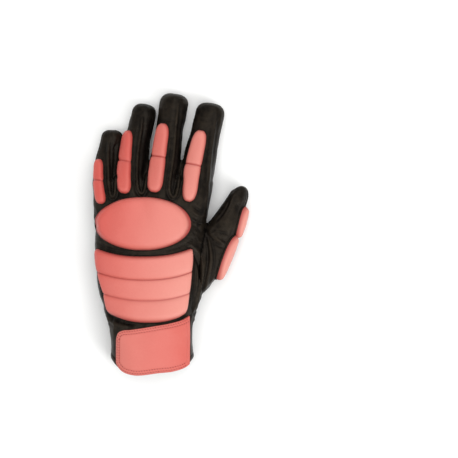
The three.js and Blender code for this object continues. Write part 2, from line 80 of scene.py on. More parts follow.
# A limb's cross-sections: along, aside, wide, high and middle or lift, as shares of its own sizes.
HAND_ROWS = np.array([
    (-0.06, 0.038, 0.697, 1.22, 0.57),
    (0.1, 0.036, 0.702, 1.2, 0.56),
    (0.215, 0.023, 0.708, 1.16, 0.54),
    (0.3, 0.015, 0.77, 1.1, 0.5),
    (0.355, 0.019, 0.823, 1.07, 0.47),
    (0.415, 0.017, 0.878, 1.05, 0.45),
    (0.5, 0.011, 0.906, 1.04, 0.44),
    (0.625, 0.004, 0.925, 1.04, 0.44),
    (0.74, 0.015, 0.94, 1.02, 0.44),
    (0.86, 0.039, 0.974, 0.92, 0.42),
    (0.95, 0.045, 0.98, 0.8, 0.4),
])
FINGER_ROWS = np.array([
    (0.0, 0.02, 0.94, 1.06, 1.0),
    (0.17, 0.0, 1.06, 1.12, 0.86),
    (0.33, -0.07, 1.08, 1.1, 0.56),
    (0.5, -0.09, 1.01, 1.05, 0.28),
    (0.68, -0.06, 0.98, 1.0, 0.08),
    (0.88, 0.01, 0.98, 0.97, 0.0),
])
INDEX_ROWS = np.array([
    (0.0, 0.0, 0.93, 1.06, 1.0),
    (0.17, 0.0, 1.06, 1.12, 0.86),
    (0.33, -0.045, 1.12, 1.1, 0.56),
    (0.5, -0.045, 1.095, 1.05, 0.28),
    (0.68, -0.035, 1.02, 1.0, 0.08),
    (0.88, 0.01, 0.98, 0.97, 0.0),
])
MIDDLE_ROWS = FINGER_ROWS + np.outer((0, 0, 0.8, 1, 0.7, 0), (0, 0.075, 0, 0, 0))
RING_ROWS = FINGER_ROWS - np.outer((0, 0, 0, 0, 1, 1.2), (0, 0.03, 0.07, 0, 0))
LITTLE_ROWS = np.array([
    (0.0, 0.0, 0.96, 1.06, 1.0),
    (0.17, -0.02, 1.1, 1.12, 0.86),
    (0.33, -0.11, 1.12, 1.1, 0.56),
    (0.5, -0.15, 1.08, 1.05, 0.28),
    (0.68, -0.12, 1.0, 1.0, 0.08),
    (0.88, -0.035, 0.93, 0.97, 0.0),
])
THUMB_ROWS = np.array([
    (0.0, -0.02, 0.8, 0.85, 1.0),
    (0.17, -0.02, 0.98, 1.16, 1.0),
    (0.35, -0.03, 1.0, 1.16, 0.8),
    (0.52, -0.06, 0.98, 1.02, 0.5),
    (0.69, -0.04, 0.95, 0.85, 0.2),
    (0.83, -0.085, 0.88, 0.64, 0.0),
])
FINGERS = ("index", "middle", "ring", "little")
NET_BOX = ((-60, -24, -3), (108, 290, 60))  # the corners of the space that the leather's net fills
# How far up the glove each finger's skin still meets that of the finger before it.
SLITS = {"middle": 218.0, "ring": 236.0, "little": 246.0}
SLIT_END = 6.0  # the length over which such a joint fades out
# Over what width two shapes melt into one: two fingers past their slit and below it, the thumb and the
# hand, the fingers and the hand, a swelling and the skin, and the skin and the ground.
OPEN_MELT, FINGER_MELT, THUMB_MELT, ROOT_MELT, SWELLING_MELT, GROUND_MELT = 0.1, 3.4, 6.5, 7.0, 3.0, 3.0
# Small swellings in the leather, each an ellipsoid's middle and half sizes: the web between two
# fingers, the knot where the thumb's seam ends, and the gathered leather beside the wrist, in two.
SWELLINGS = (
    (32.5, 202.5, 13.0, 6.5, 11.5, 9.5),
    (84.6, 182.4, 13.0, 1.7, 1.9, 3.0),
    (49.5, 80.0, 20.0, 4.2, 9.0, 8.0),
    (46.5, 66.0, 22.0, 3.2, 6.0, 7.0),
)


def limb(rows, width, height, length, across=0.0, up=0.0, knuckle=0.0, lean=0.0, roll=0.0,
         square=2.3, tip=None, root=None, blunt=2.7):
    """The hand or a digit: its table of cross-sections, its sizes in millimetres, and the straight line
    that it lies along. The line starts at shares of the hand's width and length and leans by degrees;
    square and blunt are the powers of its cross-section and of its rounded ends."""
    turn = np.radians(lean)
    return {
        "rows": rows, "width": width, "height": height, "length": length,
        "knuckle": knuckle * HAND_HEIGHT, "square": square, "roll": np.radians(roll),
        "root": (across * HAND_WIDTH, up * HAND_LENGTH),
        "forward": (np.sin(turn), np.cos(turn)), "side": (np.cos(turn), -np.sin(turn)),
        "tip": tip or length * (1 - rows[-1, 0]), "base": root, "blunt": blunt,
    }


HAND = limb(HAND_ROWS, HAND_WIDTH, HAND_HEIGHT, HAND_LENGTH, square=2.5, tip=9.0)
DIGITS = {
    "index": limb(INDEX_ROWS, 29.5, 25, 109, 0.373, 0.826, 0.56, 10.6, 12, root=12),
    "middle": limb(MIDDLE_ROWS, 29.3, 25.5, 118, 0.093, 0.825, 0.66, 7.8, 24, root=12),
    "ring": limb(RING_ROWS, 26.3, 24.5, 110, -0.17, 0.816, 0.65, 9.0, 32, root=12),
    "little": limb(LITTLE_ROWS, 22.5, 21.5, 85, -0.368, 0.805, 0.57, 5.1, 34, root=10),
    "thumb": limb(THUMB_ROWS, 30, 30.5, 113, 0.379, 0.44, 0.38, 29, -74, root=14, blunt=2.05),
}


def eased(x, xs, ys):
    """A smooth table: cubic Hermite pieces between its rows, with the rows' mean slopes."""
    slopes = np.gradient(ys, xs, axis=0)
    i = np.clip(np.searchsorted(xs, x) - 1, 0, len(xs) - 2)
    wide = xs[i + 1] - xs[i]
    t = (np.clip(x, xs[0], xs[-1]) - xs[i]) / wide
    near, leaving = 2 * t**3 - 3 * t**2 + 1, t**3 - 2 * t**2 + t
    far, coming = 3 * t**2 - 2 * t**3, t**3 - t**2
    return [near * y[i] + leaving * wide * m[i] + far * y[i + 1] + coming * wide * m[i + 1]
            for y, m in zip(ys.T, slopes.T)]


def section(limb_, along):
    """A limb's cross-section from its smooth table: sideways shift, half width, half height and height of
    its middle. A digit's middle goes down from its knuckle to where the digit lies on the ground."""
    aside, wide, high, last = eased(along, limb_["rows"][:, 0], limb_["rows"][:, 1:])
    if limb_ is HAND:
        middle = last * HAND_HEIGHT
    else:
        lying = 0.46 * limb_["height"]
        middle = lying + (limb_["knuckle"] - lying) * last
    return aside * limb_["width"], wide * limb_["width"] / 2, high * limb_["height"] / 2, middle


def limb_field(limb_, x, y, z):
    """Distance to a limb, measured towards its axis: r - r / s, where r is the distance from the axis
    and s the superellipse norm of the section, with rounded ends."""
    dx, dy = x - limb_["root"][0], y - limb_["root"][1]
    run = dx * limb_["forward"][0] + dy * limb_["forward"][1]
    along = run / limb_["length"]
    first, last = limb_["rows"][0, 0], limb_["rows"][-1, 0]
    aside, half_wide, half_high, middle = section(limb_, np.clip(along, first, last))
    u = dx * limb_["side"][0] + dy * limb_["side"][1] - aside
    w = z - middle
    c, s = np.cos(limb_["roll"]), np.sin(limb_["roll"])
    a, b = c * u + s * w, c * w - s * u
    past = np.maximum(run - last * limb_["length"], 0)
    ends = past / limb_["tip"]
    if limb_["base"]:
        before = np.maximum(first * limb_["length"] - run, 0)
        ends, past = ends + before / limb_["base"], past + before
    n = limb_["square"]
    norm = (np.abs(a / half_wide) ** n + np.abs(b / half_high) ** n) ** (1 / n)
    blunt = limb_["blunt"]
    norm = np.maximum((norm**blunt + ends**blunt) ** (1 / blunt), 1e-3)
    return np.sqrt(a**2 + b**2 + past**2) * (1 - 1 / norm)


def melted(a, b, width):
    """The nearer of two fields, rounded off where they are within width of each other: lower by a quarter
    of the width times the square of how alike the two are, from 0 to 1."""
    h = np.maximum(width - np.abs(a - b), 0) / width
    return np.minimum(a, b) - h * h * width / 4


def leather_field(x, y, z):
    """Distance to the outside of the leather: the digits melt into the hand, and a finger into the one
    beside it up to the height where the slit between them opens. What would lie under the ground is
    pressed flat on it, with a rounded edge."""
    fingers = limb_field(DIGITS["index"], x, y, z)
    for name, opens in SLITS.items():
        width = OPEN_MELT + FINGER_MELT * np.clip((opens - y) / SLIT_END, 0, 1)
        fingers = melted(fingers, limb_field(DIGITS[name], x, y, z), width)
    whole = melted(limb_field(HAND, x, y, z), limb_field(DIGITS["thumb"], x, y, z), THUMB_MELT)
    whole = melted(whole, fingers, ROOT_MELT)
    for wx, wy, wz, rx, ry, rz in SWELLINGS:
        norm = np.sqrt(((x - wx) / rx) ** 2 + ((y - wy) / ry) ** 2 + ((z - wz) / rz) ** 2)
        whole = melted(whole, (norm - 1) * rx, SWELLING_MELT)
    return -melted(-whole, z + 0 * whole, GROUND_MELT)


def slope(points):
    """The leather field and its gradient at some points, by central differences."""
    step = 0.05
    at = [leather_field(*(points + np.eye(3)[k] * s).T) for k in range(3) for s in (step, -step)]
    gradient = np.stack([(at[2 * k] - at[2 * k + 1]) / (2 * step) for k in range(3)], axis=1)
    return leather_field(*points.T), gradient


def onto_leather(points, rounds=4):
    """Walks points down the field's gradient onto the leather, and gives the outward normals there."""
    points = np.array(points, float)
    for _ in range(rounds):
        value, gradient = slope(points)
        points -= gradient * (value / np.maximum((gradient**2).sum(1), 1e-6))[:, None]
    gradient = slope(points)[1]
    return points, gradient / np.linalg.norm(gradient, axis=1)[:, None]


def net(low, high, step):
    """A quad mesh of the leather: one point in each grid cell that the surface crosses, at the mean of
    its edges' crossings, and one quad round each grid edge that it crosses."""
    axes = [np.arange(lo, hi + step, step) for lo, hi in zip(low, high)]
    x, y, z = np.meshgrid(*axes, indexing="ij", sparse=True)
    field = leather_field(x, y, z).astype(np.float32)
    inside = field < 0
    corner = np.array([(i, j, k) for i in (0, 1) for j in (0, 1) for k in (0, 1)])
    cells = tuple(n - 1 for n in field.shape)
    nx, ny, nz = cells
    count = sum(inside[i:i + nx, j:j + ny, k:k + nz].astype(np.int8) for i, j, k in corner)
    active = np.argwhere((count > 0) & (count < 8))
    number = np.full(cells, -1)
    number[tuple(active.T)] = np.arange(len(active))
    values = np.stack([field[tuple((active + c).T)] for c in corner], axis=1)
    total, crossings = np.zeros((len(active), 3)), np.zeros(len(active))
    for p in range(8):
        for q in range(p + 1, 8):
            if np.abs(corner[p] - corner[q]).sum() != 1:
                continue
            crosses = (values[:, p] < 0) != (values[:, q] < 0)
            t = np.where(crosses, values[:, p] / np.where(crosses, values[:, p] - values[:, q], 1), 0)
            total += crosses[:, None] * (corner[p] + t[:, None] * (corner[q] - corner[p]))
            crossings += crosses
    points = np.array([a[0] for a in axes]) + (active + total / crossings[:, None]) * step
    quads = []
    for k in range(3):
        one, two = [v for v in range(3) if v != k]
        here = [slice(1, -1)] * 3
        here[k] = slice(0, -1)
        ahead = list(here)
        ahead[k] = slice(1, None)
        start = inside[tuple(here)]
        cross = np.argwhere(start != inside[tuple(ahead)])
        leaving = start[tuple(cross.T)]
        cell = cross + 1
        cell[:, k] -= 1
        steps = []
        for da, db in ((-1, -1), (0, -1), (0, 0), (-1, 0)):
            other = cell.copy()
            other[:, one] += da
            other[:, two] += db
            steps.append(number[tuple(other.T)])
        quad = np.stack(steps, axis=1)
        turned = leaving if k != 1 else ~leaving
        quad[~turned] = quad[~turned][:, ::-1]
        quads.append(quad)
    quads = np.concatenate(quads)
    return points, quads[(quads >= 0).all(axis=1)]


def relaxed(points, quads, rounds=3, free=1.0):
    """Evens out a mesh: each free point moves half way to its neighbours' mean, then back onto the
    leather by the field's value over its slope."""
    ends = np.concatenate([quads[:, [i, (i + 1) % 4]] for i in range(4)])
    degree = np.bincount(ends.ravel(), minlength=len(points))[:, None]
    for _ in range(rounds):
        total = np.stack([
            np.bincount(ends[:, 0], points[ends[:, 1], k], len(points))
            + np.bincount(ends[:, 1], points[ends[:, 0], k], len(points)) for k in range(3)
        ], axis=1)
        points = points + 0.5 * free * (total / degree - points)
        value, gradient = slope(points)
        points -= free * gradient * (value / np.maximum((gradient**2).sum(1), 1e-6))[:, None]
    return points


def limb_point(limb_, along, share):
    """A point on a limb's back: share of its half width across, and the superellipse's height there."""
    aside, half_wide, half_high, middle = section(limb_, along)
    n = limb_["square"]
    a = half_wide * share
    b = half_high * np.maximum(1 - np.abs(share) ** n, 0) ** (1 / n)
    c, s = np.cos(limb_["roll"]), np.sin(limb_["roll"])
    u, w = aside + a * c - b * s, middle + a * s + b * c
    run = along * limb_["length"]
    x = limb_["root"][0] + limb_["forward"][0] * run + limb_["side"][0] * u
    y = limb_["root"][1] + limb_["forward"][1] * run + limb_["side"][1] * u
    return np.stack([x, y, w + 0 * x], axis=-1)


# Lines sewn or folded into the leather, seen from above, as the photograph shows them. Its own pixels
# are 1 mm here, counted from its top left corner, and seen_at() brings them to the pattern frame.
def seen_at(line):
    """A line from the photograph's pixels to the pattern frame: y turned over, and the origin moved to the
    pixel at which the middle of the hem lies."""
    return np.array(line, float) * (1, -1) + (-148, 375)


FOURCHETTE_EDGES = {
    "middle_index": [(178.6, 98), (177, 115), (175.5, 129), (174.3, 148), (171.8, 168), (169.5, 185),
                     (170, 193), (173, 198), (176.2, 195), (177.8, 188), (179.5, 177), (181.5, 165),
                     (184.5, 145), (187, 130), (190, 115), (193.5, 97)],
    "ring_middle": [(142.5, 108), (141.5, 125), (139.5, 140), (138, 150), (137.2, 163), (137.2, 182),
                    (138.5, 190), (141.7, 194.5), (144.6, 191), (145.8, 184), (147, 174), (148.5, 160),
                    (150, 148), (151.5, 138), (154, 124), (157.5, 108), (160, 98)],
    "little_ring": [(109.5, 130), (108, 145), (107.4, 153), (108, 165), (108.8, 183), (110.5, 194),
                    (113, 198), (115, 194), (115.8, 182), (116.6, 162), (117.6, 147), (120.5, 136),
                    (124.5, 126), (131, 108)],
}
INDEX_SIDE_SEAM = [(217, 108), (214.5, 130), (212, 145), (211, 155), (209.5, 168), (208, 188), (206.5, 202),
                   (205, 216)]

# The folds on the glove's back. Each has its line, its half width and its depth; a depth below nothing
# is a ridge.
FOLDS = [
    ([(186, 243), (194, 246), (200, 254), (203, 264), (203, 276), (199, 294), (196, 312)], 1.7, -1.5),
    ([(189, 250), (196, 256), (199.5, 268), (199, 282), (196, 300), (193, 311)], 1.3, 1.5),
    ([(205, 232), (207.5, 246), (208, 260), (206, 274), (202, 292), (198, 310)], 1.5, 1.7),
    ([(207, 236), (211, 250), (211, 264), (207.5, 280), (204, 292)], 1.4, -1.3),
    ([(210, 238), (214, 250), (215, 262), (212, 277)], 1.3, 1.2),
    ([(195, 262), (195.5, 280), (193.5, 300), (191.5, 313)], 1.1, 1.1),
    ([(197, 262), (198, 280), (196, 298), (194, 312)], 1.1, -0.9),
    ([(204, 226), (208, 236), (215, 244), (224, 248)], 1.5, 1.3),
    ([(209, 232), (215, 238), (223, 243), (227, 246)], 1.3, -1.1),
    ([(212, 228), (220, 232), (229, 234)], 1.4, 1.0),
    ([(192, 205), (198, 210), (203, 211), (207, 208)], 1.3, 1.3),
    ([(190, 209), (196, 215), (202, 217), (206, 215)], 1.3, -1.0),
    ([(191, 218), (197, 223), (203, 224)], 1.3, 0.9),
    ([(232, 192), (229.5, 200), (226, 208), (221, 216), (214, 224)], 1.1, 1.0),
    ([(234.5, 191), (231.5, 200), (228, 209), (224, 216)], 1.0, -0.8),
    ([(96, 241), (104, 247), (116, 250.5), (128, 252)], 1.3, 0.9),
    ([(160, 252), (174, 249), (186, 244), (193, 238)], 1.3, 0.9),
    ([(102, 300), (106, 309), (113, 317), (124, 322), (138, 324)], 2.0, 1.9),
    ([(104, 308), (109, 320), (118, 325), (130, 326)], 1.5, -1.1),
    ([(103, 312), (107, 324), (111, 331)], 1.6, 1.3),
    ([(97, 262), (99, 278), (103, 296), (107, 312)], 1.2, 0.8),
    ([(190, 316), (196, 313), (201, 307)], 1.7, 1.6),
    ([(192, 322), (196, 318), (199, 313)], 1.4, -1.1),
    ([(120, 141), (115, 146), (111, 152)], 1.0, 0.6),
    ([(146, 128), (142, 137), (139, 147)], 1.0, 0.5),
    ([(160, 118), (168, 121), (176, 120)], 1.6, 0.5),
    ([(198, 118), (206, 121), (214, 119)], 1.6, 0.5),
    ([(166, 136), (171, 138), (176, 137)], 1.2, 0.5),
    ([(205, 150), (209, 153), (213, 152)], 1.2, 0.5),
    ([(93, 205), (95, 212), (95, 220)], 1.0, 0.7),
]

# The palm's seams and folds, in the pattern frame and seen from above through the glove: across under
# the fingers, round the reinforcement, along the thumb and over the heel of the hand.
PALM_SEAMS = [
    [(-52, 190), (-30, 191.5), (0, 193), (30, 192), (56, 189)],
    [(-52, 150), (-30, 140), (-8, 124), (8, 104), (18, 80)],
    [(56, 168), (40, 158), (28, 140), (22, 118), (20, 92)],
    [(-46, 100), (-20, 92), (10, 84), (44, 86)],
]
PALM_FOLDS = [
    ([(-44, 74), (-20, 70), (6, 73), (30, 69), (44, 72)], 2.0, 1.6),
    ([(-44, 66), (-18, 62), (8, 65), (36, 61)], 1.7, 1.3),
    ([(-40, 80), (-24, 84), (-10, 80)], 1.7, 1.0),
    ([(14, 76), (26, 80), (40, 78)], 1.7, 1.1),
    ([(-50, 176), (-34, 172), (-20, 176)], 1.8, 0.9),
    ([(-8, 178), (10, 175), (30, 179)], 1.8, 0.9),
    ([(30, 120), (42, 108), (48, 94)], 1.8, 1.2),
    ([(36, 134), (46, 122), (54, 108)], 1.6, 1.0),
]


def to_line(xy, line):
    """Each point's distance to a line of straight pieces, and how far along the line, from 0 to 1."""
    best = np.full(len(xy), 1e9)
    where = np.zeros(len(xy))
    lengths = np.linalg.norm(np.diff(line, axis=0), axis=1)
    done = np.concatenate([[0], np.cumsum(lengths)])
    for i, (a, b) in enumerate(zip(line[:-1], line[1:])):
        t = np.clip(((xy - a) @ (b - a)) / lengths[i] ** 2, 0, 1)
        distance = np.linalg.norm(xy - a - t[:, None] * (b - a), axis=1)
        nearer = distance < best
        best[nearer] = distance[nearer]
        where[nearer] = ((done[i] + t * lengths[i]) / done[-1])[nearer]
    return best, where


def smooth_line(line, times=3):
    """A line with its corners cut: each round puts two points at the quarters of every piece, and the
    line's two ends stay."""
    line = np.array(line, float)
    for _ in range(times):
        inner = np.stack([0.75 * line[:-1] + 0.25 * line[1:], 0.25 * line[:-1] + 0.75 * line[1:]], axis=1)
        line = np.concatenate([line[:1], inner.reshape(-1, 2), line[-1:]])
    return line


def within(xy, line):
    """Whether points lie inside a closed line: an odd number of its pieces cross a ray from each."""
    odd = np.zeros(len(xy), bool)
    for a, b in zip(line, np.roll(line, -1, axis=0)):
        crosses = (a[1] > xy[:, 1]) != (b[1] > xy[:, 1])
        rise = b[1] - a[1] if b[1] != a[1] else 1e-9
        odd ^= crosses & (xy[:, 0] < (b[0] - a[0]) * (xy[:, 1] - a[1]) / rise + a[0])
    return odd


def fourchette(points, pair):
    """Distance to a fourchette's upper edge, seen from above: below nothing inside it."""
    line = smooth_line(seen_at(FOURCHETTE_EDGES[pair]), 1)
    distance = to_line(points[:, :2], line)[0]
    return np.where(within(points[:, :2], line), -distance, distance)


def side_seam(points):
    """How far a point lies above the side seam, whose height is a table along the glove."""
    return points[:, 2] - np.interp(points[:, 1], SEAM_Y, SEAM_Z)


def hem_line(x):
    """The hem's height at x: it rises as the fourth power of the way to its sides, and it lies higher
    on the thumb's side, where two S-shaped steps lift it and let it down again."""
    aside, half_wide = section(HAND, 0.0)[:2]
    u = np.clip((x - aside) / half_wide, -1.1, 1.1)
    up, down = np.clip((u + 0.45) / 0.8, 0, 1), np.clip((u - 0.55) / 0.45, 0, 1)
    rise = HEM_START + HEM_CURVE * u**4 + HEM_LIFT * up * up * (3 - 2 * up)
    return rise - HEM_DROP * down * down * (3 - 2 * down)


def hem(points):
    """How far up the glove a point lies from the hem."""
    return points[:, 1] - hem_line(points[:, 0])


def nearer_thumb(points):
    """How much nearer a point lies to the thumb than to the hand and the fingers, less 1 mm: the thumb's
    seam is where this is nothing."""
    others = np.minimum.reduce([limb_field(one, *points.T) for one in (HAND, *map(DIGITS.get, FINGERS))])
    return others - limb_field(DIGITS["thumb"], *points.T) - 1.0


def thumb_seam(points):
    """Sideways distance to the upright sheet that parts the thumb's back from its front. The sheet follows
    the middles of the thumb's cross-sections, joined by straight lines."""
    thumb = DIGITS["thumb"]
    x, y = points[:, 0] - thumb["root"][0], points[:, 1] - thumb["root"][1]
    along = (x * thumb["forward"][0] + y * thumb["forward"][1]) / thumb["length"]
    aside = np.interp(along, np.append(THUMB_ROWS[:, 0], 1.0), np.append(THUMB_ROWS[:, 1], -0.1))
    return x * thumb["side"][0] + y * thumb["side"][1] - aside * thumb["height"]


def finger_root(points):
    """How far up the glove a point lies from the seam across the fingers' roots."""
    return points[:, 1] - FINGER_ROOT


def lower_edge(points):
    """How far a point lies above a fourchette's lower edge, which runs below the side seam."""
    return side_seam(points) + FOURCHETTE_DROP


def snapped(points, function, reach, only=None):
    """Moves points that lie near a seam onto it, so that the cut there is clean: down the slope of the
    seam's own distance, with the part that would leave the leather taken out, by reach at most."""
    value = function(points)
    near = np.abs(value) < reach
    if only is not None:
        near &= only(points)
    some = points[near]
    step = 0.2
    gradient = np.stack([
        (function(some + np.eye(3)[k] * step) - function(some - np.eye(3)[k] * step)) / (2 * step)
        for k in range(3)
    ], axis=1)
    normal = slope(some)[1]
    normal /= np.linalg.norm(normal, axis=1)[:, None]
    along = gradient - normal * (gradient * normal).sum(1)[:, None]
    size = (along**2).sum(1)
    move = along * (value[near] / np.maximum(size, 0.15))[:, None]
    length = np.linalg.norm(move, axis=1)
    some = some - move * np.minimum(1, reach / np.maximum(length, 1e-9))[:, None]
    points = points.copy()
    points[near] = onto_leather(some, 1)[0]
    return points


def ripples(points, wavelength, seed, stretch=(1, 1, 1), waves=28):
    """Seeded waves in random directions, summed to a height of about 1. A stretched axis is smoother."""
    rng = np.random.default_rng(seed)
    direction = rng.normal(size=(waves, 3))
    direction /= np.linalg.norm(direction, axis=1)[:, None]
    k = direction / np.array(stretch) * (2 * np.pi / wavelength) * rng.uniform(0.6, 1.5, (waves, 1))
    phase = rng.uniform(0, 2 * np.pi, waves)
    total = np.zeros(len(points))
    for one, shift in zip(k, phase):
        total += np.cos(points @ one + shift)
    return total / np.sqrt(waves)


def bump(distance, width):
    """A bell curve: 1 at no distance, and e to the power of minus one a width away."""
    return np.exp(-((distance / width) ** 2))


def around(points, x, y, size):
    """The same bell curve round a place seen from above: 1 there, fading out over size."""
    return np.exp(-((points[:, 0] - x) ** 2 + (points[:, 1] - y) ** 2) / size**2)


def leather_relief(points, normals):
    """How far sewing, folds and wear push the leather out or in, in millimetres: a sum of bell curves
    across the seams and the folds, and of waves, each faded to where it belongs."""
    # The back's share is 1 above the side seam, and the underside's 1 where the leather faces down.
    top = np.clip((points[:, 2] - np.interp(points[:, 1], SEAM_Y, SEAM_Z) + 7) / 5, 0, 1)
    under = np.clip(-normals[:, 2] * 1.5, 0, 1)
    # No leather lies quite flat: slow waves of 26 mm and finer ones of 6.5 mm.
    height = 0.28 * ripples(points, 26, 1)
    height += 0.09 * ripples(points, 6.5, 2, (1, 1.6, 1))

    def stroke(line, width, depth, mask, taper=True):
        """Presses a groove along a line: a bell curve across it, faded out at its ends by a half sine."""
        line = smooth_line(line)
        low, high = line.min(0) - 3 * width, line.max(0) + 3 * width
        near = ((points[:, :2] > low) & (points[:, :2] < high)).all(1) & (mask > 0)
        distance, where = to_line(points[near, :2], line)
        fade = np.sin(np.pi * np.clip(where, 0.02, 0.98)) ** 0.6 if taper else 1
        height[near] -= depth * bump(distance, width) * fade * mask[near]

    # A fourchette's edge is a raised welt with a valley on both sides, and the leather inside it sinks.
    # The welts fade out towards the fingertips and stand out most round the fourchette's pocket.
    for pair, line in FOURCHETTE_EDGES.items():
        line = seen_at(line)
        low, high = line.min(0) - 6, line.max(0) + 6
        near = ((points[:, :2] > low) & (points[:, :2] < high)).all(1) & (top > 0)
        away = fourchette(points[near], pair)
        fade = top[near] * np.clip((line[0, 1] - 1 - points[near, 1]) / 16, 0, 1)
        pocket = 1 + 0.9 * bump(points[near, 1] - line[:, 1].min(), 22)
        welt, outer = 0.8 * bump(away, 1.15), 0.6 * bump(away - 2.7, 1.4)
        inner, sunk = 0.8 * bump(away + 2.6, 1.4), 0.7 * np.clip(-away / 4, 0, 1)
        height[near] += fade * pocket * (welt - outer - inner - sunk)

    # The index finger's seam is a welt between two valleys as well.
    side = seen_at(INDEX_SIDE_SEAM)
    stroke(side, 1.15, -0.75, top)
    stroke(side - (2.8, 0), 1.4, 0.6, top)
    stroke(side + (2.8, 0), 1.4, 0.7, top)
    for line, width, depth in FOLDS:
        stroke(seen_at(line), width, depth, top)
    for line in PALM_SEAMS:
        stroke(line, 1.0, 1.1, under, False)
    for line, width, depth in PALM_FOLDS:
        stroke(line, width, depth, under)

    # The side seams, the thumb's seams and the wrist's are pressed in along their stitching. The side
    # seam fades out at the thumb's root, and the thumb's own seam shows underneath only.
    beside = side_seam(points)
    away = np.clip(1 - 1.5 * around(points, 60, 110, 30), 0, 1)
    height -= 0.8 * bump(beside, 0.9) * away
    height += 0.35 * (bump(beside - 2.1, 1.3) + bump(beside + 2.1, 1.3)) * away
    thumb = nearer_thumb(points)
    height -= 0.7 * bump(thumb, 1.3)
    height -= 0.9 * bump(thumb_seam(points), 0.9) * (np.clip(thumb / 3 + 0.5, 0, 1) * under)
    height -= 0.3 * bump(points[:, 1] - CUFF_LENGTH, 2.0)

    # Folds run along the glove at the heel of the thumb and gather at the wrist: sharp ridges where a
    # slow wave is nothing.
    heel = around(points, 52, 88, 26) + 0.8 * around(points, 44, 62, 18)
    height += 0.55 * heel * (1 - 2 * np.abs(ripples(points, 15, 3, (1, 3.2, 1.4))).clip(0, 1))
    wrist = bump(points[:, 1] - 58, 13)
    height += 0.5 * wrist * (1 - 2 * np.abs(ripples(points, 13, 4, (1, 2.6, 1))).clip(0, 1))

    # Underneath, the leather gives way to the hem's binding and to both patches, which lie flush.
    height -= 0.6 * np.clip((7 - hem(points)) / 2, 0, 1) * (under > 0.9)
    for left, right, near, far in (PALM_PATCH, CUFF_PATCH):
        inside = np.minimum.reduce([points[:, 0] - left, right - points[:, 0], points[:, 1] - near,
                                    far - points[:, 1]])
        height -= 0.95 * np.clip(inside / 1.2 + 0.5, 0, 1) * (under > 0.9)

    # Short creases gather where the thumb leaves the hand.
    crotch = around(points, 58, 146, 13)
    height += 0.5 * crotch * (1 - 2 * np.abs(ripples(points, 9, 5, (1.5, 1, 1))).clip(0, 1))
    return height


def leather_mesh(step):
    """The whole leather skin: a net of the field, evened out, with its points moved onto the seams that
    part the pieces, then pushed out and in by the relief along the field's normals. Gives its points,
    its faces, each face's middle before the relief, and each point's relief."""
    points, quads = net(*NET_BOX, step)
    points = relaxed(points, quads)
    reach = 0.42 * step
    even = points
    for pair in FOURCHETTE_EDGES:
        points = snapped(points, lambda p: fourchette(p, pair), reach, lambda p: side_seam(p) > -7)
        points = snapped(points, lower_edge, reach, lambda p: fourchette(p, pair) < 1)
    points = snapped(points, lambda p: p[:, 1] - CUFF_LENGTH, reach)
    points = snapped(points, nearer_thumb, reach, lambda p: p[:, 1] > CUFF_LENGTH)
    points = snapped(points, side_seam, reach, lambda p: nearer_thumb(p) < 0)
    points = snapped(points, finger_root, reach, lambda p: side_seam(p) < 0)
    points = snapped(points, hem, 1.2 * step, lambda p: (p[:, 1] < 30) & (hem(p) < 0.5 * step))
    moved = np.linalg.norm(points - even, axis=1) > 1e-6
    points = relaxed(points, quads, 2, np.where(moved, 0.0, 1.0)[:, None])
    # Where points were moved so close that a face is nearly nothing, its points are evened out again.
    corners = points[quads]
    across = np.cross(corners[:, 2] - corners[:, 0], corners[:, 3] - corners[:, 1])
    area = np.linalg.norm(across, axis=1) / 2
    crowded = np.zeros(len(points))
    crowded[quads[area < 0.12 * step**2]] = 1
    points = relaxed(points, quads, 6, crowded[:, None])
    normals = slope(points)[1]
    normals /= np.linalg.norm(normals, axis=1)[:, None]
    relief = leather_relief(points, normals)
    # Between two fingers the relief is held to the room that is left on the side it moves to.
    way = np.where(relief < 0, -1.0, 1.0)
    room = way * leather_field(*(points + 2.5 * way[:, None] * normals).T)
    relief = relief * np.clip(room / 2, 0, 1)
    skin = points + normals * relief[:, None]
    skin[:, 2] = np.maximum(skin[:, 2], 0.0)
    return skin, quads, points[quads].mean(1), relief


def leather_regions(middle):
    """Which piece each face of the skin is cut for: its name, from the side of every seam it lies on."""
    region = np.where(side_seam(middle) > 0, "back_leather", "palm_leather").astype("<U24")
    region[(side_seam(middle) <= 0) & (finger_root(middle) > 0)] = "finger_front_leather"
    for pair in FOURCHETTE_EDGES:
        region[(fourchette(middle, pair) < 0) & (lower_edge(middle) > 0)] = f"{pair}_fourchette"
    cuff = middle[:, 1] < CUFF_LENGTH
    thumb = (nearer_thumb(middle) > 0) & ~cuff
    region[thumb] = "thumb_leather"
    region[cuff] = "cuff_leather"
    region[hem(middle) < 0.1] = ""  # past the mouth of the cuff
    return region


def placed(points):
    """Points from the pattern frame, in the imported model's frame and in metres: moved, then scaled."""
    return (np.asarray(points) + SHIFT) / 1000


def new_piece(name, points, faces, materials, values=None):
    """A smooth mesh object at the origin from points in millimetres, with a value on every point if
    given."""
    mesh = bpy.data.meshes.new(name)
    mesh.from_pydata(placed(points).tolist(), [], faces)
    mesh.polygons.foreach_set("use_smooth", np.ones(len(mesh.polygons), bool))
    for key, value in (values or {}).items():
        layer = mesh.attributes.new(key, "FLOAT", "POINT")
        layer.data.foreach_set("value", np.asarray(value, np.float32))
    for material in materials:
        mesh.materials.append(material)
    mesh.validate()
    piece = bpy.data.objects.new(name, mesh)
    bpy.context.scene.collection.objects.link(piece)
    return piece


def dressed(piece, slot, *nodes):
    """The piece rides on the glove and stands for the solids it covers. Its slot is not used."""
    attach(piece, "root")
    if nodes:
        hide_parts(*nodes)


def cut_out(quads, keep):
    """The numbers of the points that the kept faces use, and those faces with the points renumbered."""
    faces = quads[keep]
    used, index = np.unique(faces, return_inverse=True)
    return used, index.reshape(faces.shape)


